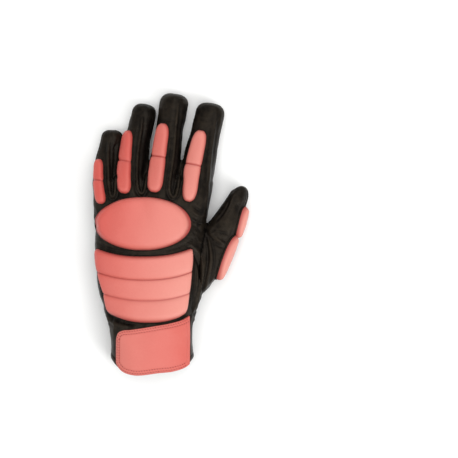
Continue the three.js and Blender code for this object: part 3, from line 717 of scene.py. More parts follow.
# A pad's table: each row is along, left and right, as shares of the limb's length and half width.
def ellipse_rows(x, y, wide, high, count=25):
    """A pad's table from an ellipse seen from above: its half width at every row is the ellipse's."""
    turn = np.linspace(-np.pi / 2, np.pi / 2, count)[1:-1]
    along = (y + high * np.sin(turn)) / HAND_LENGTH
    aside, half_wide = section(HAND, along)[:2]
    half = wide * np.cos(turn)
    return np.stack([along, (x - half - aside) / half_wide, (x + half - aside) / half_wide], axis=1)


def edge_rows(edges):
    """A pad's table from its edges seen from above: height along the glove, left and right x."""
    y, left, right = np.array(edges).T
    aside, half_wide = section(HAND, y / HAND_LENGTH)[:2]
    return np.stack([y / HAND_LENGTH, (left - aside) / half_wide, (right - aside) / half_wide], axis=1)


KNUCKLE_PAD = ellipse_rows(-4.8, 151.3, 47.8, 26.6)
HAND_PAD = edge_rows([
    (61.6, -29.0, 31.0), (61.9, -33.5, 34.2), (62.4, -36.8, 36.6), (63.6, -38.8, 37.9),
    (73.3, -41.2, 40.0), (82.7, -43.4, 41.4), (95.4, -47.0, 42.8), (104.1, -49.8, 43.6),
    (114.8, -51.4, 44.4), (122.5, -51.8, 44.4), (126.0, -51.4, 43.8), (127.2, -50.4, 42.6),
    (127.6, -48.6, 40.8),
])
HAND_PAD_BOW = 0.044
HAND_PAD_CHANNELS = (0.414, 0.52)
# A digit's pad: its share of the way along, and its half width there as a share of the pad's own.
FINGER_PAD_SHAPE = np.array([
    (0.0, 0.3), (0.012, 0.52), (0.035, 0.76), (0.11, 1.0), (0.3, 1.02), (0.49, 1.0), (0.51, 0.965),
    (0.53, 1.0), (0.7, 1.0), (0.89, 0.94), (0.965, 0.7), (0.988, 0.5), (1.0, 0.3),
])
THUMB_PAD_SHAPE = np.array([
    (0.0, 0.12), (0.015, 0.3), (0.06, 0.52), (0.18, 0.82), (0.35, 1.0), (0.55, 1.03), (0.78, 0.86),
    (0.93, 0.55), (0.985, 0.3), (1.0, 0.14),
])
FINGER_CREASE = 0.51  # where the channel crosses a finger's pad
# Where a digit's pad lies: the shares of the digit's length at which it starts and ends, how far its
# middle lies to the side at its near end and at its far end, and its half width.
FINGER_PADS = {
    "index": (0.065, 0.735, -0.16, -0.09, 0.5),
    "middle": (0.14, 0.735, -0.08, -0.14, 0.53),
    "ring": (0.155, 0.735, 0.02, -0.4, 0.57),
    "little": (0.11, 0.64, 0.16, -0.2, 0.47),
}
THUMB_PADS = {
    "thumb_base_pad": (0.165, 0.585, 0.14, -0.02, 0.58),
    "thumb_tip_pad": (0.57, 0.855, 0.26, 0.06, 0.56),
}


def digit_rows(shape, place):
    """A digit's pad as a table: its middle runs straight from near to far, and its shape's half widths
    lie to both sides."""
    start, end, near, far, half = place
    share, wide = shape.T
    centre = near + (far - near) * share
    return np.stack([start + (end - start) * share, centre - half * wide, centre + half * wide], axis=1)


def ends_close(count):
    """Numbers from 0 to 1 that crowd at both ends, where a pad's edge turns down."""
    return (1 - np.cos(np.pi * np.linspace(0, 1, count))) / 2


def grid_faces(rows, columns):
    """A grid's faces: each joins a point, the next one in its row, and the two after them."""
    i, j = np.meshgrid(np.arange(rows - 1), np.arange(columns - 1), indexing="ij")
    a = (i * columns + j).ravel()
    return np.stack([a, a + 1, a + columns + 1, a + columns], axis=1)


def rim_of(rows, columns):
    """The grid's outermost points, once round: its first row, its last column, its last row backwards
    and its first column backwards."""
    top = (rows - 1) * columns
    return np.concatenate([
        np.arange(columns), columns * np.arange(1, rows) + columns - 1,
        top + np.arange(columns - 2, -1, -1), columns * np.arange(rows - 2, 0, -1),
    ])


def let_down(points):
    """Lets points down from above the glove until each lies on the leather: every step is a little less
    than the field's own value, and none goes below the side of the hand."""
    points = np.array(points, float)
    points[:, 2] = 62.0
    for _ in range(60):
        points[:, 2] = np.maximum(points[:, 2] - 0.85 * leather_field(*points.T), 18.0)
    gradient = slope(points)[1]
    return points, gradient / np.linalg.norm(gradient, axis=1)[:, None]


def bed(limb_, table, rows, columns, bow, lay):
    """A grid on the leather between a table's left and right edges: every row is an arc across the limb,
    hanging in its middle by the bow, a curve of the power 2.5 whose width is the table's own without its
    rounded corners. lay puts the points on the leather. Gives the points, the normals and each point's
    two shares."""
    sizes = (limb_["length"], limb_["width"] / 2, limb_["width"] / 2)
    run = np.concatenate([[0], np.cumsum(np.abs(np.diff(table * sizes, axis=0)).sum(1))])
    along, left, right = eased(ends_close(rows) * run[-1], run, table)
    across = ends_close(columns)
    share = left[:, None] + (right - left)[:, None] * across
    full = (table[[3, -4], 2] - table[[3, -4], 1]) / 2
    half = (right - left) / 2
    narrow = half / np.maximum(half, np.interp(along, table[[3, -4], 0], full))
    sag = bow * (1 - np.abs((2 * across - 1) * narrow[:, None]) ** 2.5)
    points = limb_point(limb_, along[:, None] - sag, share).reshape(-1, 3)
    points, normals = lay(points)
    return points, normals, (along[:, None] + 0 * share).ravel(), (across + 0 * share).ravel()


class Pad(NamedTuple):
    """How one pad is built."""

    name: str
    solid: str
    limb: dict
    table: np.ndarray
    thick: float  # in metres
    rows: int
    columns: int
    radius: float  # how far inside its rim it is level
    bow: float = 0.0
    channels: tuple = ()  # where each crosses it, as a share of the limb's length
    lay: object = onto_leather


def to_rim(points, rim):
    """Each point's distance to the closed line of rim points."""
    line = points[np.append(rim, rim[0])]
    line = line[np.append(True, np.linalg.norm(np.diff(line, axis=0), axis=1) > 1e-6)]
    return to_line(points, line)[0]


def dome(distance, radius):
    """A pad's side: a quarter of a superellipse that rises within the radius and is level past it."""
    power = 2.2
    return (1 - (1 - np.clip(distance / radius, 0, 1)) ** power) ** (1 / power)


def limb_top(limb_):
    """The direction that a limb's back faces: straight up, rolled about the limb's axis."""
    c, s = np.cos(limb_["roll"]), np.sin(limb_["roll"])
    return np.array([-s * limb_["side"][0], -s * limb_["side"][1], c])


def evened(points, normals, rise, rows, columns, rounds=60):
    """The bed of a pad with its bumps averaged out, as foam bridges them: every inner point moves
    towards the mean of its four neighbours, but the rim stays on the leather."""
    grid = np.concatenate([points, normals], axis=1).reshape(rows, columns, 6)
    share = np.clip(rise, 0, 1).reshape(rows, columns, 1)[1:-1, 1:-1]
    for _ in range(rounds):
        mean = (grid[2:, 1:-1] + grid[:-2, 1:-1] + grid[1:-1, 2:] + grid[1:-1, :-2]) / 4
        grid[1:-1, 1:-1] += 0.5 * share * (mean - grid[1:-1, 1:-1])
    grid = grid.reshape(-1, 6)
    normals = grid[:, 3:] / np.linalg.norm(grid[:, 3:], axis=1)[:, None]
    return np.where(rise[:, None] > 0.3, grid[:, :3], points), normals


def closed_skin(top, bottom, rows, columns):
    """Two grids of the same size as one closed skin: the lower one's faces are turned over, and faces
    round the rim join both."""
    count = len(top)
    faces = grid_faces(rows, columns)
    rim = rim_of(rows, columns)
    after = np.roll(rim, -1)
    side = np.stack([rim + count, after + count, after, rim], axis=1)
    return np.concatenate([top, bottom]), np.concatenate([faces, faces[:, ::-1] + count, side]).tolist()


def closed_pad(points, normals, height, rows, columns, sunk=1.2):
    """A pad's closed skin: the grid raised along its normals, and the same grid sunk in the leather."""
    top = points + normals * height[:, None]
    bottom = points - normals * sunk
    bottom[:, 2] = np.maximum(bottom[:, 2], 0.2)
    top[:, 2] = np.maximum(top[:, 2], 0.2)
    return closed_skin(top, bottom, rows, columns)


def carried_faces(count, sides):
    """The faces between rings of points that are carried round a closed path."""
    i, j = np.meshgrid(np.arange(count), np.arange(sides), indexing="ij")
    a, b = i * sides + j, i * sides + (j + 1) % sides
    c, d = (i + 1) % count * sides + (j + 1) % sides, (i + 1) % count * sides + j
    return np.stack([a, b, c, d], axis=-1).reshape(-1, 4)


def tube(path, radius, sides):
    """A round tube along a closed path: a circle in the plane across the path at every point."""
    ahead = np.roll(path, -1, 0) - np.roll(path, 1, 0)
    ahead /= np.linalg.norm(ahead, axis=1)[:, None]
    up = np.array([0, 0, 1.0]) - ahead * ahead[:, 2:3]
    up /= np.linalg.norm(up, axis=1)[:, None]
    out = np.cross(ahead, up)
    turn = np.linspace(0, 2 * np.pi, sides, endpoint=False)
    ring = np.cos(turn)[None, :, None] * out[:, None] + np.sin(turn)[None, :, None] * up[:, None]
    return (path[:, None] + radius * ring).reshape(-1, 3), carried_faces(len(path), sides)


PIPING_PITCH, PIPING_RADIUS = 1.4, 1.15  # of the rolled rim that a pad is sewn down inside
THREAD = 1.0  # the sewing thread's thickness


def evenly(line, pitch):
    """Points at an even pitch along a line, with the unit direction at each: from a little before the
    point to a little after it."""
    run = np.concatenate([[0], np.cumsum(np.linalg.norm(np.diff(line, axis=0), axis=1))])
    count = max(int(run[-1] / pitch), 1)
    at = (np.arange(count) + 0.5) * run[-1] / count
    points = np.stack([np.interp(at, run, line[:, k]) for k in range(3)], axis=1)
    before = np.stack([np.interp(at - 0.3 * pitch, run, line[:, k]) for k in range(3)], axis=1)
    after = np.stack([np.interp(at + 0.3 * pitch, run, line[:, k]) for k in range(3)], axis=1)
    ahead = after - before
    return points, ahead / np.linalg.norm(ahead, axis=1)[:, None]


def stitches(points, ahead, normals, length, thick):
    """A sewn stitch at each point: a five-sided grain that is fattest in its middle and dives into the
    leather at both ends. All of them are one array of points."""
    stations = np.array([-0.5, -0.25, 0.25, 0.5])
    lift = np.array([-0.35, 0.3, 0.3, -0.35]) * thick
    fat = np.array([0.45, 1.0, 1.0, 0.45]) * thick / 2
    turn = np.linspace(0, 2 * np.pi, 5, endpoint=False)
    aside = np.cross(ahead, normals)
    axis = points[:, None] + ahead[:, None] * (stations * length)[None, :, None]
    axis = axis + normals[:, None] * lift[None, :, None]
    ring = aside[:, None] * np.cos(turn)[None, :, None] + normals[:, None] * np.sin(turn)[None, :, None]
    out = axis[:, :, None] + ring[:, None] * fat[None, :, None, None]
    j = np.arange(5)
    one = np.concatenate([
        np.stack([k * 5 + j, k * 5 + (j + 1) % 5, (k + 1) * 5 + (j + 1) % 5, (k + 1) * 5 + j], axis=1)
        for k in range(3)
    ])[:, ::-1]
    start = 20 * np.arange(len(points))[:, None]
    quads = (one[None] + start[:, None]).reshape(-1, 4)
    caps = np.concatenate([start + j, start + 19 - j])
    return out.reshape(-1, 3), quads, caps


STRAP_LEFT, STRAP_RIGHT = -0.856, 0.895  # its ends, as shares of the cuff's half width
# The strap's top edge: its share of the way across, and its height as a share of the cuff's length.
STRAP_TOP = np.array([
    (0.0, 0.6), (0.006, 0.645), (0.015, 0.685), (0.035, 0.722), (0.07, 0.745), (0.2, 0.765),
    (0.5, 0.82), (0.8, 0.888), (0.9, 0.925), (1.0, 0.995),
])
STRAP_CORNER = (7.0, 5.5)  # how wide and how high the strap's lower left corner is rounded
STRAP_STITCH_ROWS = (1.9, 4.4)  # how far inside the strap's edge each row of stitches runs


def strap_bed(rows, columns):
    """A grid over the cuff's back: columns run across it, rows from the hem to the strap's top edge. Its
    lower edge is the hem's line, lifted by a quarter of an ellipse at the left corner, and its upper edge
    is a smooth table."""
    aside, half_wide = section(HAND, 0.0)[:2]
    left, right = aside + STRAP_LEFT * half_wide, aside + STRAP_RIGHT * half_wide
    across = ends_close(columns)
    x = left + (right - left) * across
    low = hem_line(x) - 0.9
    high = eased(across, STRAP_TOP[:, 0], STRAP_TOP[:, 1:])[0] * CUFF_LENGTH
    wide, lift = STRAP_CORNER
    corner = np.clip(1 - (x - left) / wide, 0, 1)
    low = low + lift * (1 - np.sqrt(1 - corner**2))
    y = low + (high - low) * ends_close(rows)[:, None]
    aside, half_wide = section(HAND, y / HAND_LENGTH)[:2]
    points = limb_point(HAND, y / HAND_LENGTH, np.clip((x - aside) / half_wide, -0.985, 0.985))
    points[..., 0], points[..., 1] = x, y
    return onto_leather(points.reshape(-1, 3))


def nearest(line, points):
    """For every point of a line, the number of the point that lies nearest to it."""
    return ((line[:, None] - points[None]) ** 2).sum(2).argmin(1)


def inset_line(points, normals, height, rim, inset, keep):
    """A line on a piece at an even distance inside its rim: every rim point goes in by that distance,
    square to the rim, and takes the height of the piece's nearest point."""
    line = points[rim]
    ahead = np.roll(line, -1, 0) - np.roll(line, 1, 0)
    ahead /= np.maximum(np.linalg.norm(ahead, axis=1), 1e-6)[:, None]
    inward = np.cross(normals[rim], ahead)
    line = (line + inward * inset)[keep]
    near = nearest(line, points)
    return line + normals[near] * height[near][:, None], normals[near]


def hem_ring(count):
    """Points round the cuff's mouth: the section's superellipse, by a power of the cosine and the sine of
    an angle, each at the hem's height."""
    turn = np.linspace(0, 2 * np.pi, count, endpoint=False)
    n = 2 / HAND["square"]
    aside, half_wide, half_high, middle = section(HAND, 0.0)
    c, s = np.cos(turn), np.sin(turn)
    x = aside + half_wide * np.sign(c) * np.abs(c) ** n
    z = middle + half_high * np.sign(s) * np.abs(s) ** n
    return np.stack([x, hem_line(x), np.maximum(z, 0.0)], axis=1)


def binding_skin(profile, count=220):
    """The hem's binding: a profile of (along the glove, off the leather), closed, carried round the
    mouth of the cuff."""
    ring = hem_ring(count)
    rings = []
    for along, off in profile:
        moved = ring + (0, along, 0)
        moved, normals = onto_leather(moved, 3)
        out = moved + normals * off
        out[:, 2] = np.maximum(out[:, 2], 0.0)
        rings.append(out)
    return np.stack(rings, axis=1).reshape(-1, 3), carried_faces(count, len(profile))


def rounded_panel(box, corner, step):
    """A flat grid whose outline is a rounded rectangle: past both of a corner's sides, the square's own
    distance from the corner's middle is made a circle's. Gives the points, each one's distance to the
    rim, and the grid's rows and columns."""
    left, right, near, far = box
    columns, rows = int((right - left) / step) + 9, int((far - near) / step) + 9
    u, v = np.meshgrid(2 * ends_close(columns) - 1, 2 * ends_close(rows) - 1)
    half = np.array([(right - left) / 2, (far - near) / 2])
    x, y = u * half[0], v * half[1]
    past_x, past_y = np.abs(x) - (half[0] - corner), np.abs(y) - (half[1] - corner)
    both = (past_x > 0) & (past_y > 0)
    square = np.maximum(past_x, past_y)
    length = np.hypot(past_x, past_y)
    pull = np.where(both, square / np.maximum(length, 1e-6), 1.0)
    x = np.where(both, np.sign(x) * (half[0] - corner + past_x * pull), x)
    y = np.where(both, np.sign(y) * (half[1] - corner + past_y * pull), y)
    points = np.stack([x + (left + right) / 2, y + (near + far) / 2, 0 * x], axis=-1).reshape(-1, 3)
    distance = to_rim(points, rim_of(rows, columns))
    return points, distance, rows, columns


def linear(code):
    """An sRGB hex colour as linear numbers: the power of 2.4 of its bright part, a straight line below."""
    part = np.array([int(code[i:i + 2], 16) for i in (1, 3, 5)]) / 255
    return tuple(np.where(part <= 0.04045, part / 12.92, ((part + 0.055) / 1.055) ** 2.4))


def node(tree, kind, inputs=(), **settings):
    """Adds a node: settings are its properties, and inputs are its sockets' values or what feeds them."""
    new = tree.nodes.new(kind)
    for key, value in settings.items():
        setattr(new, key, value)
    for key, value in dict(inputs).items():
        socket = new.inputs[key]
        if isinstance(value, bpy.types.NodeSocket):
            tree.links.new(value, socket)
        elif socket.type == "RGBA" and len(value) == 3:
            socket.default_value = (*value, 1.0)
        else:
            socket.default_value = value
    return new


def new_material(name):
    """An empty material with a shader on its output."""
    material = bpy.data.materials.new(name)
    material.use_nodes = True
    tree = material.node_tree
    tree.nodes.clear()
    shader = node(tree, "ShaderNodeBsdfPrincipled")
    node(tree, "ShaderNodeOutputMaterial", {"Surface": shader.outputs["BSDF"]})
    return material, tree, shader


def blend_colours(tree, factor, first, second):
    """One colour's share of 1 less the factor, and the other's of the factor."""
    return node(tree, "ShaderNodeMix", {0: factor, 6: first, 7: second}, data_type="RGBA").outputs[2]


def goat_leather(name, dark, light, grain_mm=1.5, rough=0.4):
    """Drum-dyed goat leather, finished with a thin wax: near black with a brown cast, fine pebbled grain,
    a soft broad gloss, and olive-brown on ridges, darker in folds, after the relief: partly rubbed wear,
    partly painted highlight and painted shade. Real grain is 0.6 to 1 mm across and is drawn at about
    1.5 mm, because a finer one doesn't show at the render's size."""
    material, tree, shader = new_material(name)
    where = node(tree, "ShaderNodeTexCoord").outputs["Object"]
    relief = node(tree, "ShaderNodeAttribute", attribute_name="relief").outputs["Fac"]
    grain = node(tree, "ShaderNodeTexVoronoi", {"Vector": where, "Scale": 1000 / grain_mm,
                                                "Randomness": 0.9}, feature="F1")
    creases = node(tree, "ShaderNodeTexNoise", {"Vector": where, "Scale": 1000 / 5.0, "Detail": 4.0,
                                                "Roughness": 0.55, "Distortion": 0.4})
    patches = node(tree, "ShaderNodeTexNoise", {"Vector": where, "Scale": 1000 / 26.0, "Detail": 3.0})
    # Lighter on ridges and darker in hollows, after the relief: partly rubbed wear, partly painted
    # highlight and painted shade.
    wear_and_highlight = node(tree, "ShaderNodeMapRange", {"Value": relief, "From Min": -0.5, "From Max": 0.9})
    uneven = node(tree, "ShaderNodeMath", {0: wear_and_highlight.outputs["Result"], 1: patches.outputs["Fac"]},
                  operation="MULTIPLY")
    fine = node(tree, "ShaderNodeMapRange", {"Value": creases.outputs["Fac"], "From Min": 0.35,
                                             "From Max": 0.75, "To Min": -0.1, "To Max": 0.35})
    tone = node(tree, "ShaderNodeMath", {0: uneven.outputs[0], 1: fine.outputs["Result"]}, operation="ADD",
                use_clamp=True)
    colour = blend_colours(tree, tone.outputs[0], dark, light)
    tree.links.new(colour, shader.inputs["Base Color"])
    gloss = node(tree, "ShaderNodeMapRange", {"Value": patches.outputs["Fac"], "From Min": 0.3,
                                              "From Max": 0.7, "To Min": rough - 0.06,
                                              "To Max": rough + 0.08})
    tree.links.new(gloss.outputs["Result"], shader.inputs["Roughness"])
    wide = node(tree, "ShaderNodeBump", {"Height": creases.outputs["Fac"], "Strength": 0.5,
                                         "Distance": 0.0006})
    near = node(tree, "ShaderNodeBump", {"Height": grain.outputs["Distance"], "Strength": 0.45,
                                         "Distance": 0.00025, "Normal": wide.outputs["Normal"]})
    tree.links.new(near.outputs["Normal"], shader.inputs["Normal"])
    shader.inputs["Specular IOR Level"].default_value = 0.14
    shader.inputs["Specular Tint"].default_value = (*linear("#f2e2cf"), 1.0)
    return material


# How fast the coral pales per metre along each axis, and how pale it is at the origin: a painted sheen that
# lightens the pads towards the thumb's side and the hem, and the strap towards the side away from the
# thumb.
PAD_PAINTED_SHEEN = ((9.0, -2.4, 0.0), 0.57)
STRAP_PAINTED_SHEEN = ((-4.0, 0.0, 0.0), 0.15)


def coated_leather(name, pale, full, groove_shade_colour, painted_sheen_slope, start, grain_mm=1.2, rough=0.5):
    """Coral split leather with a thin pigmented coat, drawn tight over foam: a soft colour with a painted
    sheen that pales it a little towards one side, a very fine grain, a dull satin gloss, and painted shade
    of a deeper red where it turns down into a seam or a channel. Its real grain of about 0.3 mm is drawn at
    1.2 mm, so that it shows."""
    material, tree, shader = new_material(name)
    where = node(tree, "ShaderNodeTexCoord").outputs["Object"]
    # Painted shade: the depth attribute turns the coral a deeper red at rims, in channels and along
    # stitching.
    depth = node(tree, "ShaderNodeAttribute", attribute_name="depth").outputs["Fac"]
    patches = node(tree, "ShaderNodeTexNoise", {"Vector": where, "Scale": 1000 / 30.0, "Detail": 2.0})
    mottle = node(tree, "ShaderNodeTexNoise", {"Vector": where, "Scale": 1000 / 2.2, "Detail": 3.0})
    both = node(tree, "ShaderNodeMath", {0: mottle.outputs["Fac"], 1: patches.outputs["Fac"]},
                operation="MULTIPLY")
    # Painted sheen: the colour pales along one direction of the object's space, standing in for a veil of
    # light on that side.
    across = node(tree, "ShaderNodeVectorMath", {0: where, 1: painted_sheen_slope}, operation="DOT_PRODUCT")
    mottle_and_painted_sheen = node(tree, "ShaderNodeMath", {0: both.outputs[0], 1: 0.35, 2: across.outputs["Value"]},
                 operation="MULTIPLY_ADD")
    spread = node(tree, "ShaderNodeMath", {0: mottle_and_painted_sheen.outputs[0], 1: start}, operation="ADD", use_clamp=True)
    face = blend_colours(tree, spread.outputs[0], full, pale)
    colour = blend_colours(tree, depth, face, groove_shade_colour)
    tree.links.new(colour, shader.inputs["Base Color"])
    gloss = node(tree, "ShaderNodeMapRange", {"Value": mottle.outputs["Fac"], "From Min": 0.3,
                                              "From Max": 0.7, "To Min": rough - 0.05,
                                              "To Max": rough + 0.08})
    tree.links.new(gloss.outputs["Result"], shader.inputs["Roughness"])
    grain = node(tree, "ShaderNodeTexVoronoi", {"Vector": where, "Scale": 1000 / grain_mm}, feature="F1")
    wide = node(tree, "ShaderNodeBump", {"Height": mottle.outputs["Fac"], "Strength": 0.25,
                                         "Distance": 0.0004})
    near = node(tree, "ShaderNodeBump", {"Height": grain.outputs["Distance"], "Strength": 0.3,
                                         "Distance": 0.00015, "Normal": wide.outputs["Normal"]})
    tree.links.new(near.outputs["Normal"], shader.inputs["Normal"])
    shader.inputs["IOR"].default_value = 1.47
    shader.inputs["Sheen Weight"].default_value = 0.06
    shader.inputs["Sheen Roughness"].default_value = 0.5
    return material


def brushed_fleece(name, colour, light):
    """Knitted polyester brushed to a short fleece, the glove's lining: dull, dark grey, with tufts of
    about 2 mm and a sheen of loose fibre ends."""
    material, tree, shader = new_material(name)
    where = node(tree, "ShaderNodeTexCoord").outputs["Object"]
    tufts = node(tree, "ShaderNodeTexNoise", {"Vector": where, "Scale": 1000 / 2.0, "Detail": 5.0,
                                              "Roughness": 0.7})
    tree.links.new(blend_colours(tree, tufts.outputs["Fac"], colour, light), shader.inputs["Base Color"])
    bumps = node(tree, "ShaderNodeBump", {"Height": tufts.outputs["Fac"], "Strength": 0.8,
                                          "Distance": 0.0008})
    tree.links.new(bumps.outputs["Normal"], shader.inputs["Normal"])
    shader.inputs["Roughness"].default_value = 0.95
    shader.inputs["Sheen Weight"].default_value = 0.5
    shader.inputs["Sheen Roughness"].default_value = 0.4
    return material


def bonded_thread(name, colour, light):
    """Bonded nylon sewing thread: three plies twisted, slightly glossy. Its twist of about 0.5 mm is drawn
    as a slanted wave of 1.6 mm, so that it shows."""
    material, tree, shader = new_material(name)
    where = node(tree, "ShaderNodeTexCoord").outputs["Object"]
    plies = node(tree, "ShaderNodeTexWave", {"Vector": where, "Scale": 1000 / 1.6, "Distortion": 1.0},
                 bands_direction="DIAGONAL")
    tree.links.new(blend_colours(tree, plies.outputs["Fac"], colour, light), shader.inputs["Base Color"])
    shader.inputs["Roughness"].default_value = 0.42
    return material


def napped_suede(name, colour, light, nap_mm=1.8):
    """Suede, leather buffed until its nap stands up and dyed near black: matt, with a sheen of loose
    fibres and cloudy strokes where the nap has been brushed one way or the other. Its nap is drawn at
    1.8 mm, so that it shows."""
    material, tree, shader = new_material(name)
    where = node(tree, "ShaderNodeTexCoord").outputs["Object"]
    strokes = node(tree, "ShaderNodeTexNoise", {"Vector": where, "Scale": 1000 / 14.0, "Detail": 6.0,
                                                "Roughness": 0.65, "Distortion": 0.8})
    nap = node(tree, "ShaderNodeTexNoise", {"Vector": where, "Scale": 1000 / nap_mm, "Detail": 4.0})
    both = node(tree, "ShaderNodeMath", {0: strokes.outputs["Fac"], 1: nap.outputs["Fac"]},
                operation="MULTIPLY")
    spread = node(tree, "ShaderNodeMapRange", {"Value": both.outputs[0], "From Min": 0.12, "From Max": 0.4})
    tone = blend_colours(tree, spread.outputs["Result"], colour, light)
    tree.links.new(tone, shader.inputs["Base Color"])
    bumps = node(tree, "ShaderNodeBump", {"Height": nap.outputs["Fac"], "Strength": 0.6,
                                          "Distance": 0.0004})
    tree.links.new(bumps.outputs["Normal"], shader.inputs["Normal"])
    shader.inputs["Roughness"].default_value = 0.9
    shader.inputs["Sheen Weight"].default_value = 0.35
    return material


def matt_paper(name, colour):
    """The seamless paper under the glove: a pale matt sheet with the faintest tooth."""
    material, tree, shader = new_material(name)
    where = node(tree, "ShaderNodeTexCoord").outputs["Object"]
    tooth = node(tree, "ShaderNodeTexNoise", {"Vector": where, "Scale": 1000 / 1.5})
    bumps = node(tree, "ShaderNodeBump", {"Height": tooth.outputs["Fac"], "Strength": 0.05,
                                          "Distance": 0.0002})
    tree.links.new(bumps.outputs["Normal"], shader.inputs["Normal"])
    shader.inputs["Base Color"].default_value = (*colour, 1.0)
    shader.inputs["Roughness"].default_value = 0.9
    return material


def finish_of(name):
    """A material by name, made on first use from the colours in the panel."""
    if name in bpy.data.materials:
        return bpy.data.materials[name]
    colours = bpy.context.scene.glove_colours
    black, wear_and_highlight, coral = tuple(colours.leather), tuple(colours.wear_and_highlight), tuple(colours.coral)
    pale, groove_shade_colour = tuple(colours.pale_coral), tuple(colours.groove_shade_coral)
    made = {
        "black_goat_leather": lambda n: goat_leather(n, black, wear_and_highlight),
        "soft_fourchette_leather": lambda n: goat_leather(n, black, wear_and_highlight, 1.8, 0.36),
        "coral_coated_leather": lambda n: coated_leather(n, pale, coral, groove_shade_colour, *PAD_PAINTED_SHEEN),
        "coral_strap_leather": lambda n: coated_leather(n, pale, coral, groove_shade_colour, *STRAP_PAINTED_SHEEN),
        "grey_fleece_lining": lambda n: brushed_fleece(n, linear("#2b2a2a"), linear("#4a4948")),
        "coral_bonded_thread": lambda n: bonded_thread(n, linear("#8a2d28"), linear("#a0403a")),
        "black_napped_suede": lambda n: napped_suede(n, linear("#171412"), linear("#302a26")),
        "white_seamless_paper": lambda n: matt_paper(n, linear("#fbfbfa")),
    }
    return made[name](name)


def inner_wall(piece, thickness):
    """Gives a skin its thickness inwards, along its normals. The inner face is lining."""
    wall = piece.modifiers.new("wall", "SOLIDIFY")
    wall.thickness, wall.offset = thickness, -1.0
    wall.use_even_offset = False
    wall.material_offset, wall.material_offset_rim = 1, 0


# The leather's visible pieces, and the solids that each stands for.
SKIN_NODES = {
    "back_leather": ["back_panel"] + [f"{name}_finger_back" for name in FINGERS],
    "palm_leather": ["palm_panel"],
    "finger_front_leather": [f"{name}_finger_front" for name in FINGERS],
    "middle_index_fourchette": ["fourchette_middle_index"],
    "ring_middle_fourchette": ["fourchette_ring_middle"],
    "little_ring_fourchette": ["fourchette_little_ring"],
    "thumb_leather": ["thumb_back", "thumb_front"],
    "cuff_leather": ["cuff"],
}


class GloveColours(bpy.types.PropertyGroup):
    """The colours that a user would change"""

    leather: bpy.props.FloatVectorProperty(
        name="Leather", description="The black leather in its folds", subtype="COLOR", size=3,
        min=0, max=1, default=linear("#0b0908"))
    # The lighter colour that the black leather takes on its ridges after the relief: partly rubbed wear,
    # partly painted highlight.
    wear_and_highlight: bpy.props.FloatVectorProperty(
        name="Rubbed leather", description="The black leather where it is worn on ridges", subtype="COLOR",
        size=3, min=0, max=1, default=linear("#2c251d"))
    coral: bpy.props.FloatVectorProperty(
        name="Coral", description="The pads and the strap", subtype="COLOR", size=3, min=0, max=1,
        default=linear("#c55147"))
    # Pale coral: reached by random mottle, and by the painted sheen that lightens the pads and the strap
    # towards one side.
    pale_coral: bpy.props.FloatVectorProperty(
        name="Pale coral", description="The pads where they are faded", subtype="COLOR", size=3,
        min=0, max=1, default=linear("#d5887b"))
    # Painted shade: the coral turns to this deeper red at the pads' and the strap's rims, in the pads'
    # channels and along the strap's stitching.
    groove_shade_coral: bpy.props.FloatVectorProperty(
        name="Deep coral", description="The pads in their seams", subtype="COLOR", size=3, min=0, max=1,
        default=linear("#9c2f28"))


class GloveSizes(bpy.types.PropertyGroup):
    """The sizes that a user would change"""

    wall: bpy.props.FloatProperty(
        name="Leather", description="Thickness of leather, foam and lining together", subtype="DISTANCE",
        unit="LENGTH", default=0.0024, min=0.001, max=0.006, precision=4)
    mesh_step: bpy.props.FloatProperty(
        name="Mesh step", description="Size of the leather's faces", subtype="DISTANCE", unit="LENGTH",
        default=0.001, min=0.0008, max=0.004, precision=4)
    knuckle_pad: bpy.props.FloatProperty(
        name="Knuckle pad", description="How far the knuckle pad stands off the leather",
        subtype="DISTANCE", unit="LENGTH", default=0.008, min=0.002, max=0.015, precision=4)
    hand_pad: bpy.props.FloatProperty(
        name="Hand pad", description="How far the back's pad stands off the leather", subtype="DISTANCE",
        unit="LENGTH", default=0.007, min=0.002, max=0.015, precision=4)
    finger_pad: bpy.props.FloatProperty(
        name="Finger pads", description="How far the fingers' pads stand off the leather",
        subtype="DISTANCE", unit="LENGTH", default=0.005, min=0.002, max=0.01, precision=4)
    thumb_pad: bpy.props.FloatProperty(
        name="Thumb pads", description="How far the thumb's pads stand off the leather",
        subtype="DISTANCE", unit="LENGTH", default=0.0066, min=0.002, max=0.01, precision=4)
    strap: bpy.props.FloatProperty(
        name="Strap", description="Thickness of the strap", subtype="DISTANCE", unit="LENGTH",
        default=0.0024, min=0.001, max=0.006, precision=4)
    stitch_pitch: bpy.props.FloatProperty(
        name="Stitch pitch", description="Distance from one stitch to the next", subtype="DISTANCE",
        unit="LENGTH", default=0.0026, min=0.001, max=0.004, precision=4)
    stitch_length: bpy.props.FloatProperty(
        name="Stitch length", description="Length of the thread that shows in one stitch",
        subtype="DISTANCE", unit="LENGTH", default=0.001, min=0.0005, max=0.003, precision=4)
    binding: bpy.props.FloatProperty(
        name="Hem binding", description="How far the binding reaches from the hem", subtype="DISTANCE",
        unit="LENGTH", default=0.005, min=0.002, max=0.01, precision=4)


class GLOVE_OT_leather(bpy.types.Operator):
    """Builds the leather skin of the hand, the fingers, the thumb and the cuff, with its lining"""

    bl_idname = "glove.leather"
    bl_label = "Leather skin"

    def execute(self, context):
        sizes = context.scene.glove_sizes
        skin, quads, middle, relief = leather_mesh(sizes.mesh_step * 1000)
        region = leather_regions(middle)
        lining = finish_of("grey_fleece_lining")
        for name, nodes in SKIN_NODES.items():
            used, faces = cut_out(quads, region == name)
            if len(faces) == 0:
                raise RuntimeError(f"no faces were cut for {name}")
            kind = "soft_fourchette_leather" if "fourchette" in name else "black_goat_leather"
            piece = new_piece(name, skin[used], faces.tolist(), [finish_of(kind), lining],
                              {"relief": relief[used]})
            inner_wall(piece, sizes.wall)
            dressed(piece, "leather", *nodes)
        return {"FINISHED"}


